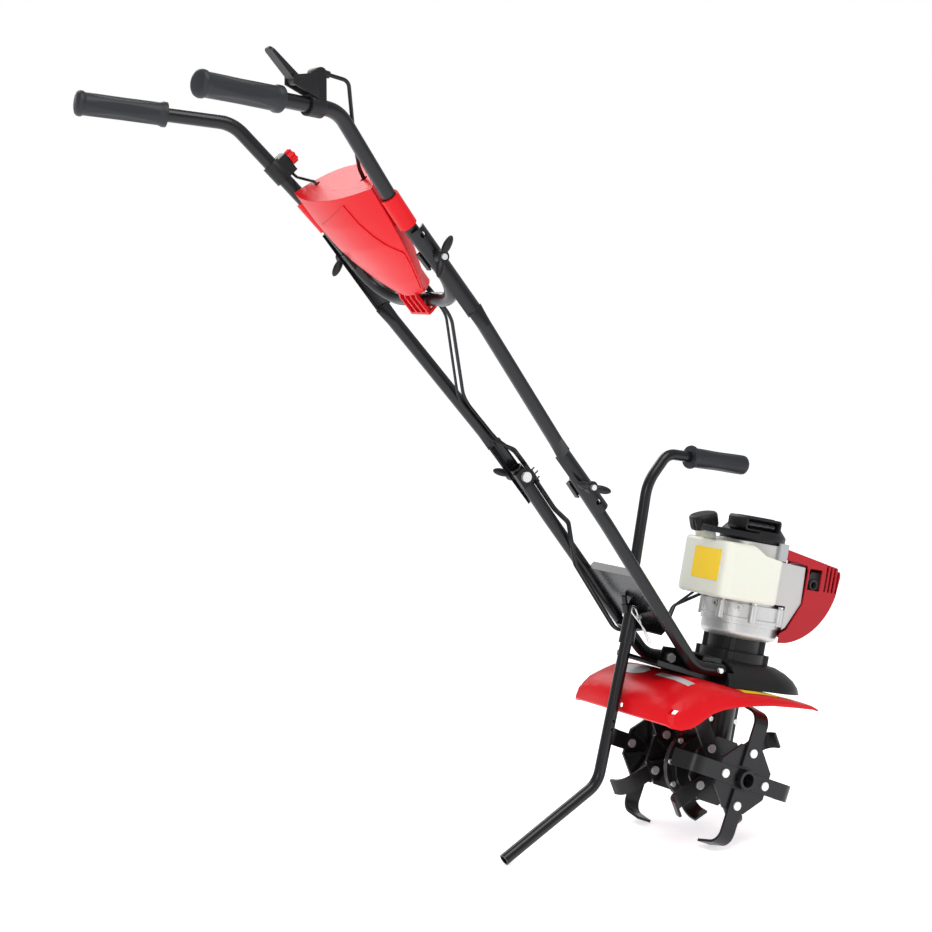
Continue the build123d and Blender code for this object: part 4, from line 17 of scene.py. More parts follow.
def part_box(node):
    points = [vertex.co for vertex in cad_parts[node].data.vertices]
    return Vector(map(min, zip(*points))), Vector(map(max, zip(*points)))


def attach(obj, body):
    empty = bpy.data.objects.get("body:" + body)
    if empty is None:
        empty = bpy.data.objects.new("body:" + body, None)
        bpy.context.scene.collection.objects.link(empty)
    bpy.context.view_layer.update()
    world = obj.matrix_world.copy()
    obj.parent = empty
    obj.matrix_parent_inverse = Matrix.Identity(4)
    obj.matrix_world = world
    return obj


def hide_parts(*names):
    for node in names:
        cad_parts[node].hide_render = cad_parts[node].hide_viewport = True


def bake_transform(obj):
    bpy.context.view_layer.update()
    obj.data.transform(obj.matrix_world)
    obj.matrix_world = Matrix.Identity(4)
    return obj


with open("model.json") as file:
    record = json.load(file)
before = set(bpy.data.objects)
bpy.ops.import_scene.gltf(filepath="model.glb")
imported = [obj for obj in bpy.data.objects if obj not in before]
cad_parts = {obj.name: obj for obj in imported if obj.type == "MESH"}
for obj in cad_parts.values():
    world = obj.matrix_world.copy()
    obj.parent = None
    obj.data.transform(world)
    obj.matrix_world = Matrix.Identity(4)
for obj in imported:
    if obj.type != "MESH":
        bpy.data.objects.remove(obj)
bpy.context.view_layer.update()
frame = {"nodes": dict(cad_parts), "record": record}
behaviour = frame["record"]["behaviour"]
body_of = {node: body for body, members in behaviour["bodies"].items() for node in members}
joint_at = {joint["name"]: Vector(joint["pos_m"]) for joint in behaviour["joints"] if "pos_m" in joint}
axis_of = {joint["name"]: Vector(joint["axis"]) for joint in behaviour["joints"]}

# %% [markdown]
# ## Slopes of the machine
# Three angles describe how the machine stands. The engine leans forwards, and the lower and the upper
# length of the handle rise at different slopes. Pieces that lie along them take their directions from here.

# %% Directions along the handle and the engine
ENGINE_LEAN = radians(12.0)
LOWER_SLOPE = radians(52.5)
UPPER_SLOPE = radians(48.3)


def down_slope(slope):
    return Vector((cos(slope), 0.0, -sin(slope)))


def off_slope(slope):
    return Vector((sin(slope), 0.0, cos(slope)))


engine_place = Matrix.Translation(joint_at["rotor_spin"]) @ Matrix.Rotation(ENGINE_LEAN, 4, "Y")
print("engine stands over", [round(v, 3) for v in joint_at["rotor_spin"]])

# %% [markdown]
# ## The camera
# The photograph was taken from behind the machine's right side, a little above the middle. A long lens
# keeps the perspective mild. The camera's axes are written out, so that its picture lines up with the
# photograph.

# %% Camera at the photograph's angle
PICTURE_WIDE = 932.0  # pixels
FOCAL = 2127.0  # pixels
SENSOR = 36.0  # mm
EYE = (-1.61404, -2.450, 0.8514)
right = Vector((0.8465, -0.5324, 0.0))
ahead = Vector((0.5298, 0.8425, -0.0973))
upward = right.cross(ahead)
camera_data = bpy.data.cameras.new("studio_camera")
camera_data.sensor_width = SENSOR
camera_data.lens = SENSOR * FOCAL / PICTURE_WIDE
camera_data.clip_end = 50.0
camera = bpy.data.objects.new("studio_camera", camera_data)
camera.matrix_world = Matrix.Translation(EYE) @ Matrix((right, upward, -ahead)).transposed().to_4x4()
bpy.context.scene.collection.objects.link(camera)
bpy.context.scene.camera = camera
print("lens", round(camera_data.lens, 1), "mm")

# %% [markdown]
# ## Floor and backdrop
# A product photograph on white needs a floor that runs out of sight. The backdrop is white to the eye, but
# it lights the machine with only half of that, so black paint stays black. The floor glows a little to keep
# its shadow faint, and the plain view transform keeps white white.

# %% Floor and backdrop
FLOOR_HALF = 30.0
FLOOR_GLOW = 0.6
BACKDROP_SEEN = 1.0
BACKDROP_LIGHT = 0.5
PURE_WHITE = (1.0, 1.0, 1.0, 1)
COOL_WHITE = (0.97, 0.98, 1.0, 1)
FLOOR_WHITE = (0.97, 0.975, 0.99, 1)


def set_sockets(node, **values):
    for socket, value in values.items():
        node.inputs[socket.replace("_", " ")].default_value = value


floor_mesh = bpy.data.meshes.new("studio_floor")
bm = bmesh.new()
bmesh.ops.create_grid(bm, x_segments=1, y_segments=1, size=FLOOR_HALF)
bm.to_mesh(floor_mesh)
bm.free()
floor = bpy.data.objects.new("studio_floor", floor_mesh)
bpy.context.scene.collection.objects.link(floor)
floor_paint = bpy.data.materials.new("pale_floor")
floor_paint.use_nodes = True
floor_shader = floor_paint.node_tree.nodes["Principled BSDF"]
set_sockets(floor_shader, Base_Color=FLOOR_WHITE, Roughness=0.6)
set_sockets(floor_shader, Emission_Color=COOL_WHITE, Emission_Strength=FLOOR_GLOW)
floor_mesh.materials.append(floor_paint)

world = bpy.data.worlds.new("white_studio")
world.use_nodes = True
sky, sky_links = world.node_tree.nodes, world.node_tree.links
seen, lit = sky["Background"], sky.new("ShaderNodeBackground")
set_sockets(seen, Color=PURE_WHITE, Strength=BACKDROP_SEEN)
set_sockets(lit, Color=COOL_WHITE, Strength=BACKDROP_LIGHT)
either, rays = sky.new("ShaderNodeMixShader"), sky.new("ShaderNodeLightPath")
sky_links.new(rays.outputs["Is Camera Ray"], either.inputs["Fac"])
sky_links.new(lit.outputs["Background"], either.inputs[1])
sky_links.new(seen.outputs["Background"], either.inputs[2])
sky_links.new(either.outputs["Shader"], sky["World Output"].inputs["Surface"])
bpy.context.scene.world = world
bpy.context.scene.view_settings.view_transform = "Standard"
print("floor", 2 * FLOOR_HALF, "m wide, backdrop", world.name)

# %% [markdown]
# ## Lamps
# Three broad lamps draw soft highlights along the tubes. The one behind the machine is placed where the
# upper end of the console mirrors it towards the camera, which turns that red wall pale, as in the
# photograph.

# %% Three soft lamps
lamps = {  # place, aim, width in metres and power in watts
    "top_lamp": ((-0.3, -1.2, 3.0), (0.1, 0.0, 0.4), 1.8, 42),
    "side_lamp": ((-2.6, -2.2, 1.6), (0.1, 0.0, 0.5), 1.2, 20),
    "back_lamp": ((0.1, 2.3, 2.1), (0.0, 0.0, 0.6), 1.6, 26),
}
for name, (place, target, wide, watts) in lamps.items():
    lamp_data = bpy.data.lights.new(name, "AREA")
    lamp_data.size = wide
    lamp_data.energy = watts
    lamp = bpy.data.objects.new(name, lamp_data)
    aim = (Vector(target) - Vector(place)).to_track_quat("-Z", "Y")
    lamp.matrix_world = Matrix.Translation(place) @ aim.to_matrix().to_4x4()
    bpy.context.scene.collection.objects.link(lamp)
    print(name, watts, "W")

# %% [markdown]
# ## A shared effect: living surfaces
# No real surface has one flat colour. This node group takes a colour and a roughness and gives both a slow
# drift, with a fine height for a bump. Each finish below uses it with its own scale, so paint, plastic and
# castings all differ while the group is built only once.

# %% Node group for surface variation
variation = bpy.data.node_groups.new("surface_variation", "ShaderNodeTree")
group_inputs = (
    ("Vector", "NodeSocketVector", None),
    ("Colour", "NodeSocketColor", (0.5, 0.5, 0.5, 1)),
    ("Tone", "NodeSocketFloat", 0.1),
    ("Drift Scale", "NodeSocketFloat", 12.0),
    ("Grain Scale", "NodeSocketFloat", 600.0),
    ("Roughness", "NodeSocketFloat", 0.4),
    ("Spread", "NodeSocketFloat", 0.1),
)
group_outputs = (
    ("Colour", "NodeSocketColor"),
    ("Roughness", "NodeSocketFloat"),
    ("Height", "NodeSocketFloat"),
)
for label, kind, value in group_inputs:
    socket = variation.interface.new_socket(label, in_out="INPUT", socket_type=kind)
    if value is not None:
        socket.default_value = value
for label, kind in group_outputs:
    variation.interface.new_socket(label, in_out="OUTPUT", socket_type=kind)
vn, vl = variation.nodes, variation.links
inside, outside = vn.new("NodeGroupInput"), vn.new("NodeGroupOutput")
drift, grain = vn.new("ShaderNodeTexNoise"), vn.new("ShaderNodeTexNoise")
set_sockets(drift, Detail=4.0)
set_sockets(grain, Detail=2.0)
vl.new(inside.outputs["Vector"], drift.inputs["Vector"])
vl.new(inside.outputs["Vector"], grain.inputs["Vector"])
vl.new(inside.outputs["Drift Scale"], drift.inputs["Scale"])
vl.new(inside.outputs["Grain Scale"], grain.inputs["Scale"])


def group_math(operation, a, b):
    node = vn.new("ShaderNodeMath")
    node.operation = operation
    for socket, value in zip(node.inputs, (a, b)):
        if isinstance(value, float):
            socket.default_value = value
        else:
            vl.new(value, socket)
    return node.outputs[0]


centred = group_math("SUBTRACT", drift.outputs["Fac"], 0.5)
tone_drift = group_math("MULTIPLY", centred, inside.outputs["Tone"])
rough_drift = group_math("MULTIPLY", centred, inside.outputs["Spread"])
toning = vn.new("ShaderNodeHueSaturation")
vl.new(group_math("ADD", tone_drift, 1.0), toning.inputs["Value"])
vl.new(inside.outputs["Colour"], toning.inputs["Color"])
vl.new(toning.outputs["Color"], outside.inputs["Colour"])
vl.new(group_math("ADD", rough_drift, inside.outputs["Roughness"]), outside.inputs["Roughness"])
vl.new(grain.outputs["Fac"], outside.inputs["Height"])
print("group", variation.name, "with", len(group_inputs), "inputs")

# %% [markdown]
# ## One helper for every finish
# A finish is a colour, how shiny it is, how coarse its grain is and whether it is metal. The helper feeds
# these to the group above. No edge is perfectly sharp, so each finish also rounds the light that falls on
# edges.

# %% Helper for a finish
DRIFT_SCALE = 9.0
SPREAD = 0.12
BUMP_HIGH = 0.001
EDGE_SAMPLES = 4
SOFT_EDGE = 0.0008
DULL = 0.3  # specular level of coatings that reflect less than clear plastic


def finish(name, colour, rough, grain_scale=900, bump=0.05, metal=0.0, tone=0.12, edge=SOFT_EDGE, **sockets):
    material = bpy.data.materials.new(name)
    material.use_nodes = True
    nodes, links = material.node_tree.nodes, material.node_tree.links
    shader = nodes["Principled BSDF"]
    place = nodes.new("ShaderNodeTexCoord")
    surface = nodes.new("ShaderNodeGroup")
    surface.node_tree = variation
    set_sockets(surface, Colour=(*colour, 1), Tone=tone, Drift_Scale=DRIFT_SCALE)
    set_sockets(surface, Grain_Scale=grain_scale, Roughness=rough, Spread=SPREAD)
    relief = nodes.new("ShaderNodeBump")
    set_sockets(relief, Strength=bump, Distance=BUMP_HIGH)
    rounding = nodes.new("ShaderNodeBevel")
    rounding.samples = EDGE_SAMPLES
    set_sockets(rounding, Radius=edge)
    links.new(rounding.outputs["Normal"], relief.inputs["Normal"])
    links.new(place.outputs["Object"], surface.inputs["Vector"])
    links.new(surface.outputs["Colour"], shader.inputs["Base Color"])
    links.new(surface.outputs["Roughness"], shader.inputs["Roughness"])
    links.new(surface.outputs["Height"], relief.inputs["Height"])
    links.new(relief.outputs["Normal"], shader.inputs["Normal"])
    set_sockets(shader, Metallic=metal, **sockets)
    return material


print("finish helper uses", variation.name)

# %% [markdown]
# ## Paint and moulded shells
# Powder coat has a fine orange peel, and the tines wear a coarser, patchier paint. The red shells are
# smooth plastic that reflects little. The tank is milky, so light goes a little way into it.

# %% Paints, red shells and the tank
powder_coat = finish(
    "black_powder_coat", (0.006, 0.006, 0.007), rough=0.24, grain_scale=700, bump=0.06,
    Specular_IOR_Level=0.38
)
tine_paint = finish(
    "tine_black_paint", (0.008, 0.008, 0.009), rough=0.30, grain_scale=420, bump=0.14, tone=0.3,
    Specular_IOR_Level=0.36
)
guard_red = finish(
    "guard_red_plastic", (0.66, 0.005, 0.010), rough=0.36, grain_scale=1100, bump=0.03, tone=0.06,
    Specular_IOR_Level=0.2
)
cover_red = finish(
    "engine_cover_red", (0.42, 0.005, 0.012), rough=0.32, grain_scale=1100, bump=0.04, tone=0.10,
    Specular_IOR_Level=DULL
)
tank_milky = finish(
    "milky_tank", (0.80, 0.78, 0.68), rough=0.34, grain_scale=500, bump=0.04, tone=0.06,
    Subsurface_Weight=0.3, Subsurface_Scale=0.008
)
print(powder_coat.name, tine_paint.name, guard_red.name, cover_red.name, tank_milky.name)

# %% [markdown]
# ## Metals
# Castings have a rough, sandy skin. Zinc plate and sheet are brighter and finer. The inner steel and bronze
# are seldom seen, but they get their finish too.

# %% Castings, plated parts, sheet and steel
cast_alloy = finish(
    "cast_alloy", (0.62, 0.62, 0.61), rough=0.40, grain_scale=320, bump=0.30, metal=0.75, tone=0.22
)
zinc = finish("zinc_plate", (0.78, 0.78, 0.77), rough=0.24, grain_scale=600, metal=0.65, tone=0.15)
steel = finish("ground_steel", (0.50, 0.50, 0.50), rough=0.34, metal=1.0)
bronze = finish("gear_bronze", (0.60, 0.38, 0.13), rough=0.36, grain_scale=600, bump=0.06, metal=1.0)
sheet_grey = finish(
    "plain_sheet", (0.56, 0.55, 0.53), rough=0.38, grain_scale=500, bump=0.08, metal=0.7, tone=0.2
)
latch_grey = finish("latch_grey", (0.42, 0.43, 0.44), rough=0.40, grain_scale=500, bump=0.08, tone=0.1)
exhaust_black = finish("exhaust_black", (0.03, 0.03, 0.03), rough=0.6, grain_scale=300, bump=0.2, tone=0.4)
print(cast_alloy.name, zinc.name, steel.name, bronze.name)
print(sheet_grey.name, latch_grey.name, exhaust_black.name)

# %% [markdown]
# ## Rubber, black plastic and cords
# Four kinds of black sit side by side on this machine: charcoal rubber, matt mouldings, the glossy starter
# bar and the sheaths of the cables. They differ in how dull they are and in their grain.

# %% Rubber, mouldings, sheaths and rope
grip_rubber = finish(
    "charcoal_rubber", (0.020, 0.021, 0.024), rough=0.46, grain_scale=1200, bump=0.10, Specular_IOR_Level=DULL
)
moulded_black = finish("moulded_black", (0.009, 0.009, 0.010), rough=0.42, bump=0.12, Specular_IOR_Level=DULL)
glossy_black = finish("glossy_black", (0.006, 0.006, 0.007), rough=0.14, bump=0.02)
cable_sheath = finish(
    "cable_sheath", (0.007, 0.007, 0.007), rough=0.36, grain_scale=1400, Specular_IOR_Level=DULL
)
rope_braid = finish("rope_braid", (0.05, 0.05, 0.05), rough=0.8, grain_scale=1600, bump=0.5)
print(grip_rubber.name, moulded_black.name, glossy_black.name, cable_sheath.name, rope_braid.name)

# %% [markdown]
# ## Finish on every solid
# Each solid keeps its shape and only its material slot changes. The list goes by what the piece is made of.

# %% Paint the solids
painted = {
    powder_coat: [
        "lower_tubes", "middle_tubes", "upper_handle", "cross_plate", "drag_stake", "carry_handle",
        "frame_bracket",
    ],
    tine_paint: ["tine_blades", "tine_hubs", "gearcase_right", "gearcase_left"],
    guard_red: ["fender", "console_front", "console_rear", "switch_knob"],
    cover_red: ["engine_cover"],
    tank_milky: ["fuel_tank"],
    cast_alloy: ["crankcase_cover", "cylinder_block", "carburettor", "flywheel"],
    zinc: [
        "fasteners", "tine_rivets", "hitch_clip", "lower_joint_hardware", "upper_joint_hardware",
        "throttle_arm",
    ],
    steel: ["bearings", "worm_shaft", "clutch_drum", "clutch_shoes", "crankshaft", "tine_axle", "spark_plug"],
    bronze: ["worm_wheel"],
    sheet_grey: ["heat_shroud"],
    latch_grey: ["cover_latch"],
    exhaust_black: ["muffler"],
    grip_rubber: ["handle_grips", "carry_grip"],
    moulded_black: [
        "drive_skirt", "clutch_housing", "recoil_housing", "air_cleaner", "fuel_cap", "starter_pulley",
        "throttle_housing", "throttle_lever", "switch_housing", "wing_nut_upper_right", "wing_nut_upper_left",
        "wing_nut_lower_right", "wing_nut_lower_left",
    ],
    glossy_black: ["starter_grip"],
    cable_sheath: [
        "control_cables_upper", "control_cables_middle", "control_cables_lower", "cables_bend_upper",
        "cables_bend_lower",
    ],
    rope_braid: ["starter_rope"],
}
material_of = {node: material for material, nodes in painted.items() for node in nodes}
for node, material in material_of.items():
    solid = frame["nodes"][node]
    solid.data.materials.clear()
    solid.data.materials.append(material)
print("painted", len(material_of), "left bare", sorted(set(frame["nodes"]) - set(material_of)))

# %% [markdown]
# ## Pieces that follow a solid
# Every new piece belongs to a solid and moves with its body. Some lie on the solid, and some stand in for it.
# A copy of a solid's mesh is merged first, because its triangles come unjoined.

# %% Helpers for new pieces
SMOOTH = 40.0  # degrees up to which an edge is shaded smooth
MERGE_WITHIN = 0.00002


def merged(node):
    bm = bmesh.new()
    bm.from_mesh(frame["nodes"][node].data)
    bmesh.ops.remove_doubles(bm, verts=bm.verts, dist=MERGE_WITHIN)
    return bm


def shaded_piece(name, bm, material, node, limit=SMOOTH):
    bmesh.ops.recalc_face_normals(bm, faces=bm.faces)
    for face in bm.faces:
        face.smooth = True
    for edge in bm.edges:
        edge.smooth = edge.is_manifold and edge.calc_face_angle(0.0) < radians(limit)
    mesh = bpy.data.meshes.new(name)
    bm.to_mesh(mesh)
    bm.free()
    piece = bpy.data.objects.new(name, mesh)
    bpy.context.scene.collection.objects.link(piece)
    mesh.materials.append(material)
    print(name, len(mesh.polygons), "faces")
    return piece


def lie_on(node, name, bm, material, limit=SMOOTH):
    piece = shaded_piece(name, bm, material, node, limit)
    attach(piece, body_of[node])
    return piece


def stand_in(node, name, bm, material, limit=SMOOTH):
    piece = lie_on(node, name, bm, material, limit)
    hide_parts(node)
    return piece


print("bodies to ride on", len(set(body_of.values())))

# %% [markdown]
# ## Smooth copies of the moulded shells
# Moulded shells have no flat facets. In each copy the flat triangles are joined, sharp rims are rounded
# where the real moulding has soft ones, and everything that bends gently is shaded smooth.

# %% Smooth shells
FLAT_WITHIN = 0.5  # degrees
RIM_SEGMENTS = 2
shells = {  # width of the rounding on sharp rims, and the angle that still counts as smooth
    "fender": (0.0, SMOOTH),
    "console_front": (0.0, SMOOTH),
    "console_rear": (0.0, SMOOTH),
    "drive_skirt": (0.0, SMOOTH),
    "recoil_housing": (0.0012, 50.0),
    "throttle_housing": (0.0006, 50.0),
    "switch_housing": (0.0012, 50.0),
}
for node, (rim, limit) in shells.items():
    bm = merged(node)
    bmesh.ops.dissolve_limit(bm, angle_limit=radians(FLAT_WITHIN), verts=bm.verts, edges=bm.edges)
    if rim:
        sharp = [edge for edge in bm.edges if edge.is_manifold and edge.calc_face_angle(0.0) > radians(limit)]
        bmesh.ops.bevel(
            bm, geom=sharp, offset=rim, segments=RIM_SEGMENTS, profile=0.5, affect="EDGES", material=-1,
            clamp_overlap=True
        )
    stand_in(node, node + "_shell", bm, material_of[node], limit)

# %% [markdown]
# ## Belly panel of the console
# The rear shell of the console carries a raised panel, which widens down to the rims and then narrows with
# the nose. It is a grid laid on the shell: each point is cast onto the shell from below and stands a little
# proud of it, and a skirt closes the step.

# %% Raised panel on the console's rear shell
PANEL_PROUD = 0.0014
PANEL_SKIRT = 0.0030
PANEL_SLANT = 0.030  # how much lower the left end of the upper edge lies
PANEL_ROWS, PANEL_COLUMNS = 44, 40
PANEL_CAST = 0.2  # how far below the handle the points start
panel_half = [  # place down the slope from the fold joint, and half width there
    (-0.112, 0.044), (-0.085, 0.049), (-0.057, 0.057), (-0.035, 0.069), (-0.020, 0.079), (0.0, 0.071),
    (0.030, 0.053), (0.046, 0.040),
]


def between(table, place):
    for (place0, value0), (place1, value1) in zip(table, table[1:]):
        if place <= place1:
            return value0 + (value1 - value0) * max(0.0, place - place0) / (place1 - place0)
    return table[-1][1]


def surface_of(node):
    mesh = frame["nodes"][node].data
    return BVHTree.FromPolygons([v.co for v in mesh.vertices], [p.vertices for p in mesh.polygons])


shell = surface_of("console_rear")
along, off = down_slope(UPPER_SLOPE), off_slope(UPPER_SLOPE)
nose = panel_half[-1][0]
bm = bmesh.new()
bmesh.ops.create_grid(bm, x_segments=PANEL_ROWS, y_segments=PANEL_COLUMNS, size=1.0)
for vert in bm.verts:
    top = panel_half[0][0] + PANEL_SLANT * (vert.co.y + 1) / 2
    run = top + (nose - top) * (vert.co.x + 1) / 2
    across = Vector((0.0, vert.co.y * between(panel_half, run), 0.0))
    below = joint_at["upper_fold"] + along * run + across - off * PANEL_CAST
    vert.co = shell.ray_cast(below, off)[0] - off * PANEL_PROUD
border = [edge for edge in bm.edges if edge.is_boundary]
skirt = bmesh.ops.extrude_edge_only(bm, edges=border)["geom"]
skirt_verts = [item for item in skirt if isinstance(item, bmesh.types.BMVert)]
bmesh.ops.translate(bm, vec=off * PANEL_SKIRT, verts=skirt_verts)
lie_on("console_rear", "console_panel", bm, guard_red)

# %% [markdown]
# ## Fold joints
# At each fold joint a black saddle sits between the tube and the bright head of the bolt. Both are in one
# solid node, so the copy is sorted by island: whatever is long across the machine is a bolt.

# %% Black saddles with bright bolts
BOLT_SPAN = 0.02  # a bolt is longer than this across the machine


def islands(bm):
    left = set(bm.faces)
    while left:
        island, edge_of_search = set(), [left.pop()]
        while edge_of_search:
            face = edge_of_search.pop()
            island.add(face)
            near = {other for edge in face.edges for other in edge.link_faces} & left
            left -= near
            edge_of_search += near
        yield island


for node in ("upper_joint_hardware", "lower_joint_hardware"):
    bm = merged(node)
    for island in islands(bm):
        sides = [vert.co.y for face in island for vert in face.verts]
        for face in island:
            face.material_index = int(max(sides) - min(sides) > BOLT_SPAN)
    piece = stand_in(node, node + "_dressed", bm, moulded_black)
    piece.data.materials.append(zinc)

# %% [markdown]
# ## Cables and rope that bend
# Where a cable crosses a fold joint, or the rope leaves its reel, the piece has to stretch from one body to
# the other. The same tube is laid in again, shaded smooth, in place of the solid.

# %% Cables across the joints and the starter rope
crossings = {  # the two bodies, and where the bend starts and ends
    "cables_bend_upper": ("handle_middle", "handle_upper", (-0.007, 0.083, 0.630), (-0.120, 0.0, 0.796)),
    "cables_bend_lower": ("chassis", "handle_middle", (0.115, 0.074, 0.502), (0.013, 0.078, 0.605)),
    "starter_rope": ("chassis", "starter_grip", (0.4207, 0.0, 0.457), (0.4207, -0.0338, 0.457)),
}
for node, (first, second, start, end) in crossings.items():
    piece = shaded_piece(node + "_soft", merged(node), material_of[node], node)
    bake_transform(piece)
    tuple(start)
    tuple(end)
    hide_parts(node)

# %% [markdown]
# ## Bars with rings and flutes
# Grips, the starter bar and the fuel cap are all round bars whose radius changes along their length, some
# with leaf-shaped flutes. One helper makes them: a cylinder is sliced into rings, each ring takes its
# radius from the profile, and the flutes are pressed in.

# %% Helper for a round bar
BAR_SIDES = 72
FLUTE_STEPS = 18
LEAF_POINT = 0.8  # below 1 the ends of a flute are blunt
FLUTE_WIDE, FLUTE_LEAST = 0.36, 0.02  # half width of a flute as a share of its pitch, and its least


def join_into(bm, part):
    mesh = bpy.data.meshes.new("part")
    part.to_mesh(mesh)
    part.free()
    bm.from_mesh(mesh)
    bpy.data.meshes.remove(mesh)


def round_bar(bm, start, way, profile, flutes=0, first=0.0, last=0.0, deep=0.0):
    length = profile[-1][0]
    part = bmesh.new()
    bmesh.ops.create_cone(part, cap_ends=True, segments=BAR_SIDES, radius1=1.0, radius2=1.0, depth=length)
    cuts = [place for place, radius in profile[1:-1]]
    if flutes:
        cuts += [first + (last - first) * i / FLUTE_STEPS for i in range(FLUTE_STEPS + 1)]
    for cut in sorted(cuts):
        geom = part.verts[:] + part.edges[:] + part.faces[:]
        bmesh.ops.bisect_plane(part, geom=geom, plane_co=(0, 0, cut - length / 2), plane_no=(0, 0, 1))
    for vert in part.verts:
        place = vert.co.z + length / 2
        radius = between(profile, place)
        if flutes and first < place < last:
            leaf = sin(pi * (place - first) / (last - first)) ** LEAF_POINT
            angle = Vector((1, 0)).angle_signed(Vector((vert.co.x, vert.co.y)))
            aside = (angle * flutes / (2 * pi) + 0.5) % 1.0 - 0.5
            radius -= deep * leaf * max(0.0, 1.0 - (aside / (FLUTE_WIDE * leaf + FLUTE_LEAST)) ** 2)
        vert.co.x *= radius
        vert.co.y *= radius
        vert.co.z = place
    turn = way.to_track_quat("Z", "Y").to_matrix().to_4x4()
    bmesh.ops.transform(part, matrix=Matrix.Translation(start) @ turn, verts=part.verts)
    join_into(bm, part)


def middle_of(node):
    low, high = (Vector(corner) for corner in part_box(node))
    return (low + high) / 2


print("round bars have", BAR_SIDES, "sides")

# %% [markdown]
# ## Rubber grips
# A grip is moulded rubber pushed over the tube: a domed end, a rim at both ends and six long flutes for the
# fingers. The right and the left grip are one piece of the model, mirrored about the middle.

# %% Fluted grips
GRIP_OVER = 0.003  # how far the rubber goes past the end of the tube
GRIP_END = (-0.55349, 0.185, 1.05213)
GRIP_WAY = (0.97673, -0.18673, -0.10533)
grip_profile = [  # place from the closed end, and radius
    (0.0, 0.0105), (0.0012, 0.0142), (0.003, 0.0162), (0.006, 0.0172), (0.009, 0.0170), (0.0105, 0.0158),
    (0.0125, 0.0153), (0.060, 0.0149), (0.110, 0.0152), (0.1135, 0.0158), (0.116, 0.0170), (0.121, 0.0168),
]
bm = bmesh.new()
for side in (-1, 1):
    mirror = Vector((1, side, 1))
    way = Vector(GRIP_WAY) * mirror
    start = Vector(GRIP_END) * mirror - way * GRIP_OVER
    round_bar(bm, start, way, grip_profile, flutes=6, first=0.014, last=0.108, deep=0.0013)
stand_in("handle_grips", "fluted_grips", bm, grip_rubber)

# %% [markdown]
# ## Carrying grip
# The sleeve of the carrying handle is softer in form: one rim near the bend, a rounded end and shallow
# flutes.

# %% Sleeve of the carrying handle
CARRY_END = (0.41396, 0.0, 0.54435)
CARRY_WAY = (-0.98562, 0.0, 0.16896)
carry_profile = [  # place from the closed end, and radius
    (0.0, 0.0095), (0.0012, 0.0126), (0.003, 0.0141), (0.006, 0.0145), (0.050, 0.0142), (0.096, 0.0145),
    (0.0995, 0.0152), (0.1008, 0.0170), (0.103, 0.0175), (0.106, 0.0166),
]
way = Vector(CARRY_WAY)
start = Vector(CARRY_END) - way * GRIP_OVER
bm = bmesh.new()
round_bar(bm, start, way, carry_profile, flutes=5, first=0.010, last=0.094, deep=0.0011)
stand_in("carry_grip", "carry_sleeve", bm, grip_rubber)

# %% [markdown]
# ## Starter bar
# The starter grip is a glossy bar with lobes between the fingers. Its profile is a formula: domed ends, and
# a radius that swells and shrinks along the bar.

# %% Glossy starter bar
BAR_LENGTH, BAR_RADIUS = 0.058, 0.0055
BAR_STEPS = 40
BAR_END = 0.2  # radius at the very end, as a share
BAR_SQUARENESS = 14
LOBES, LOBE_DEEP = 4, 0.13
bar_profile = []
for i in range(BAR_STEPS + 1):
    share = i / BAR_STEPS
    dome = max(0.0, 1.0 - abs(2.0 * share - 1.0) ** BAR_SQUARENESS) ** 0.5
    swell = 1.0 - LOBE_DEEP * cos(LOBES * pi * share) ** 2
    bar_profile.append((BAR_LENGTH * share, BAR_RADIUS * (BAR_END + (1.0 - BAR_END) * dome) * swell))
way = down_slope(ENGINE_LEAN)
start = middle_of("starter_grip") - way * BAR_LENGTH / 2
bm = bmesh.new()
round_bar(bm, start, way, bar_profile)
stand_in("starter_grip", "starter_bar", bm, glossy_black, limit=50.0)

# %% [markdown]
# ## Fuel cap
# The cap is turned by hand, so its rim is fluted. It is another ring profile, with shallow flutes all
# round, and it stands along the axis that the cap turns on.

# %% Fluted fuel cap
cap_profile = [  # place from the underside, and radius
    (0.0, 0.0190), (0.001, 0.0204), (0.004, 0.0211), (0.016, 0.0214), (0.0190, 0.0210), (0.0208, 0.0196),
    (0.0214, 0.0178), (0.0218, 0.0164), (0.022, 0.0150),
]
way = axis_of["fuel_cap_turn"]
start = middle_of("fuel_cap") - way * cap_profile[-1][0] / 2
bm = bmesh.new()
round_bar(bm, start, way, cap_profile, flutes=18, first=-0.002, last=0.0205, deep=0.0016)
stand_in("fuel_cap", "fluted_cap", bm, moulded_black)

# %% [markdown]
# ## Wing nuts
# A moulded wing nut has two petals on a round hub. Each petal is a stretched sphere that leans outwards,
# and the second is the first one turned half round. The right nuts mirror the left ones.

# %% Petal nuts at the fold joints
HUB_RADIUS, HUB_HIGH, HUB_SIDES = 0.0085, 0.011, 40
HUB_BACK = 0.0057  # from the point that the nut turns about to its seat
PETAL_MIDDLE, PETAL_LEAN = 0.0180, radians(18.0)
PETAL_HALF = (0.0138, 0.0052, 0.0056)
PETAL_SIDES, PETAL_RINGS = 28, 16
nut_turns = {"upper": radians(-70.0), "lower": radians(15.0)}


def turn_about(bm, verts, angle, axis):
    bmesh.ops.rotate(bm, cent=(0, 0, 0), matrix=Matrix.Rotation(angle, 3, axis), verts=verts)


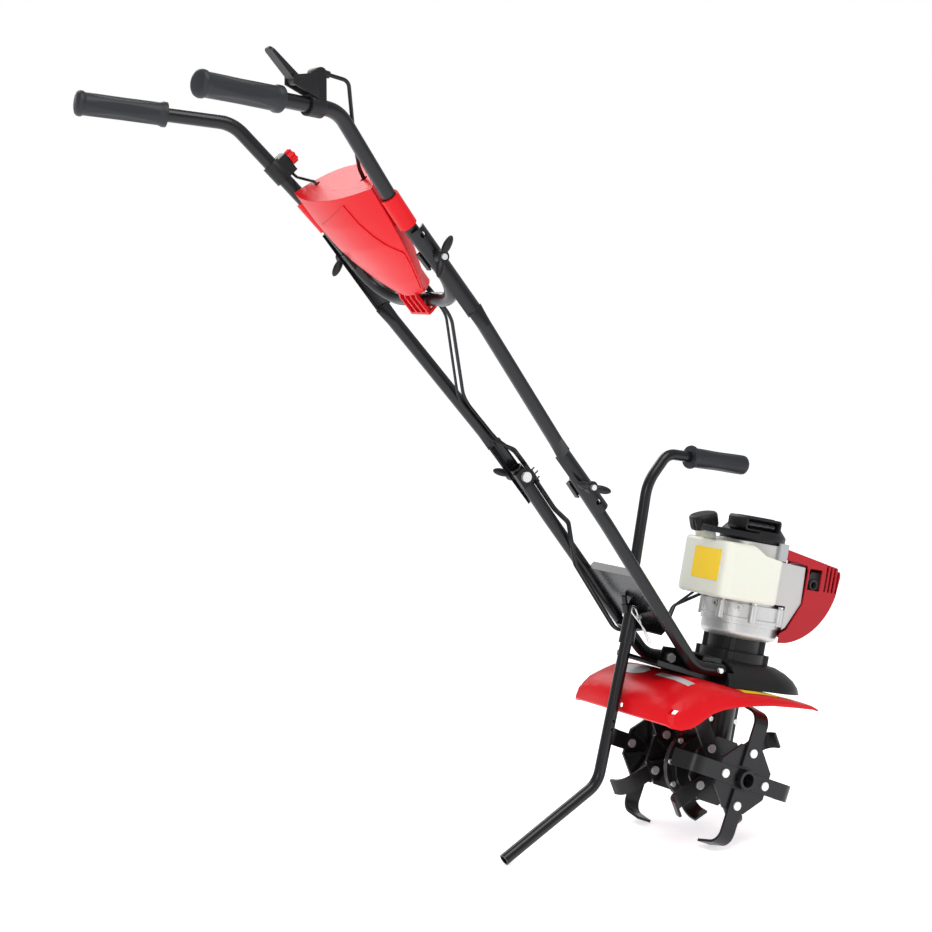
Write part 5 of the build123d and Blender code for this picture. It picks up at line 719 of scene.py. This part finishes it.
for level, nut_turn in nut_turns.items():
    seat = joint_at[f"wing_nut_{level}_left_turn"] - Vector((0.0, HUB_BACK, 0.0))
    for hand in ("left", "right"):
        bm = bmesh.new()
        hub = bmesh.ops.create_cone(
            bm, cap_ends=True, segments=HUB_SIDES, radius1=HUB_RADIUS, radius2=HUB_RADIUS, depth=HUB_HIGH
        )["verts"]
        turn_about(bm, hub, -pi / 2, "X")
        bmesh.ops.translate(bm, vec=(0, HUB_HIGH / 2, 0), verts=hub)
        for half_turn in (0.0, pi):
            petal = bmesh.ops.create_uvsphere(
                bm, u_segments=PETAL_SIDES, v_segments=PETAL_RINGS, radius=1.0
            )["verts"]
            bmesh.ops.scale(bm, vec=PETAL_HALF, verts=petal)
            bmesh.ops.translate(bm, vec=(PETAL_MIDDLE, HUB_HIGH / 2, 0), verts=petal)
            turn_about(bm, petal, PETAL_LEAN, "Z")
            turn_about(bm, petal, half_turn, "Y")
        turn_about(bm, bm.verts, nut_turn, "Y")
        bmesh.ops.translate(bm, vec=seat, verts=bm.verts)
        if hand == "right":
            bmesh.ops.scale(bm, vec=(1, -1, 1), verts=bm.verts)
        stand_in(f"wing_nut_{level}_{hand}", f"petal_nut_{level}_{hand}", bm, moulded_black)

# %% [markdown]
# ## Cable ties
# Three plastic ties hold both cables together beside the lower joint. A tie is a flat band with a small
# lock and a tail that was not cut off. The band is an open cylinder, squeezed to an oval and given its
# thickness.

# %% Three cable ties
TIE_WIDE, TIE_SHEET, TIE_SIDES = 0.0025, 0.0008, 32
TIE_HALF = (0.0064, 0.0032, 1.0)
LOCK_SIZE, LOCK_PLACE = (0.0036, 0.0030, 0.0034), (0.0030, 0.0045, 0.0)
TAIL_SHEET, TAIL_WIDE, TAIL_ASIDE = 0.0008, 0.0020, 0.0038
TIE_OUT, TIE_ABOVE = 0.07375, 0.015  # from the lower fold joint to the cables
ties = ((0.006, 0.007), (0.014, 0.009), (0.022, 0.006))  # place down the slope, and length of the tail


def slab(bm, size, centre):
    made = bmesh.ops.create_cube(bm, size=1.0)
    bmesh.ops.scale(bm, vec=size, verts=made["verts"])
    bmesh.ops.translate(bm, vec=centre, verts=made["verts"])


along, off = down_slope(LOWER_SLOPE), off_slope(LOWER_SLOPE)
turn = Matrix((Vector((0, 1, 0)), off, along)).transposed().to_4x4()
bm = bmesh.new()
for run, tail in ties:
    part = bmesh.new()
    bmesh.ops.create_cone(part, cap_ends=False, segments=TIE_SIDES, radius1=1.0, radius2=1.0, depth=TIE_WIDE)
    bmesh.ops.scale(part, vec=TIE_HALF, verts=part.verts)
    bmesh.ops.solidify(part, geom=part.faces[:], thickness=-TIE_SHEET)
    slab(part, LOCK_SIZE, LOCK_PLACE)
    slab(part, (TAIL_SHEET, tail, TAIL_WIDE), (TAIL_ASIDE, LOCK_PLACE[1] + tail / 2, 0.0))
    place = joint_at["middle_fold"] + Vector((0.0, TIE_OUT, 0.0)) + along * run + off * TIE_ABOVE
    bmesh.ops.transform(part, matrix=Matrix.Translation(place) @ turn, verts=part.verts)
    join_into(bm, part)
lie_on("control_cables_lower", "cable_ties", bm, moulded_black, limit=30.0)

# %% [markdown]
# ## Blank label on the tank
# The labels are plain stickers without print. The one on the back of the tank lies on a flat wall, so a
# thin slab is enough. It is placed in the engine's own directions and leans with it.

# %% Stickers and the label on the tank
STICKER = {"grain_scale": 500, "bump": 0.02, "edge": 0.0002}
LABEL_SHEET = 0.0004
TANK_LABEL_SIZE = (LABEL_SHEET, 0.061, 0.046)
TANK_LABEL_PLACE = (-0.0672, -0.027, 0.298)
label_yellow = finish("sticker_yellow", (1.0, 0.66, 0.02), rough=0.42, tone=0.04, **STICKER)
label_white = finish("sticker_white", (0.80, 0.80, 0.79), rough=0.40, tone=0.04, **STICKER)
label_grey = finish("sticker_grey", (0.52, 0.53, 0.53), rough=0.36, tone=0.06, **STICKER)
bm = bmesh.new()
slab(bm, TANK_LABEL_SIZE, TANK_LABEL_PLACE)
bmesh.ops.transform(bm, matrix=engine_place, verts=bm.verts)
lie_on("fuel_tank", "tank_label", bm, label_yellow, limit=30.0)

# %% [markdown]
# ## Blank labels on the guard
# A sticker on a curved shell bends with it. Each one is a flat grid, square or squeezed to an oval, whose
# points are cast down onto the guard and stop just above it.

# %% Labels pressed onto the guard
LABEL_STEPS = 24
LABEL_CAST = 0.3  # height above the tine axle that the points start from
guard = surface_of("fender")
guard_labels = {  # finish, middle and size in the engine's directions, and whether it is oval
    "guard_label_oval": (label_white, (-0.112, 0.036), (0.030, 0.056), True),
    "guard_label_grey": (label_grey, (-0.110, -0.055), (0.012, 0.078), False),
    "guard_label_yellow": (label_yellow, (0.030, -0.096), (0.100, 0.020), False),
}
down = (engine_place.to_3x3() @ Vector((0, 0, -1))).normalized()
for name, (material, middle, size, oval) in guard_labels.items():
    bm = bmesh.new()
    bmesh.ops.create_grid(bm, x_segments=LABEL_STEPS, y_segments=LABEL_STEPS, size=1.0)
    for vert in bm.verts:
        u, v = vert.co.x, vert.co.y
        if oval:
            u, v = u * (1 - v * v / 2) ** 0.5, v * (1 - u * u / 2) ** 0.5
        above = Vector((middle[0] + u * size[0] / 2, middle[1] + v * size[1] / 2, LABEL_CAST))
        vert.co = guard.ray_cast(engine_place @ above, down)[0] - down * LABEL_SHEET
    lie_on("fender", name, bm, material, limit=60.0)
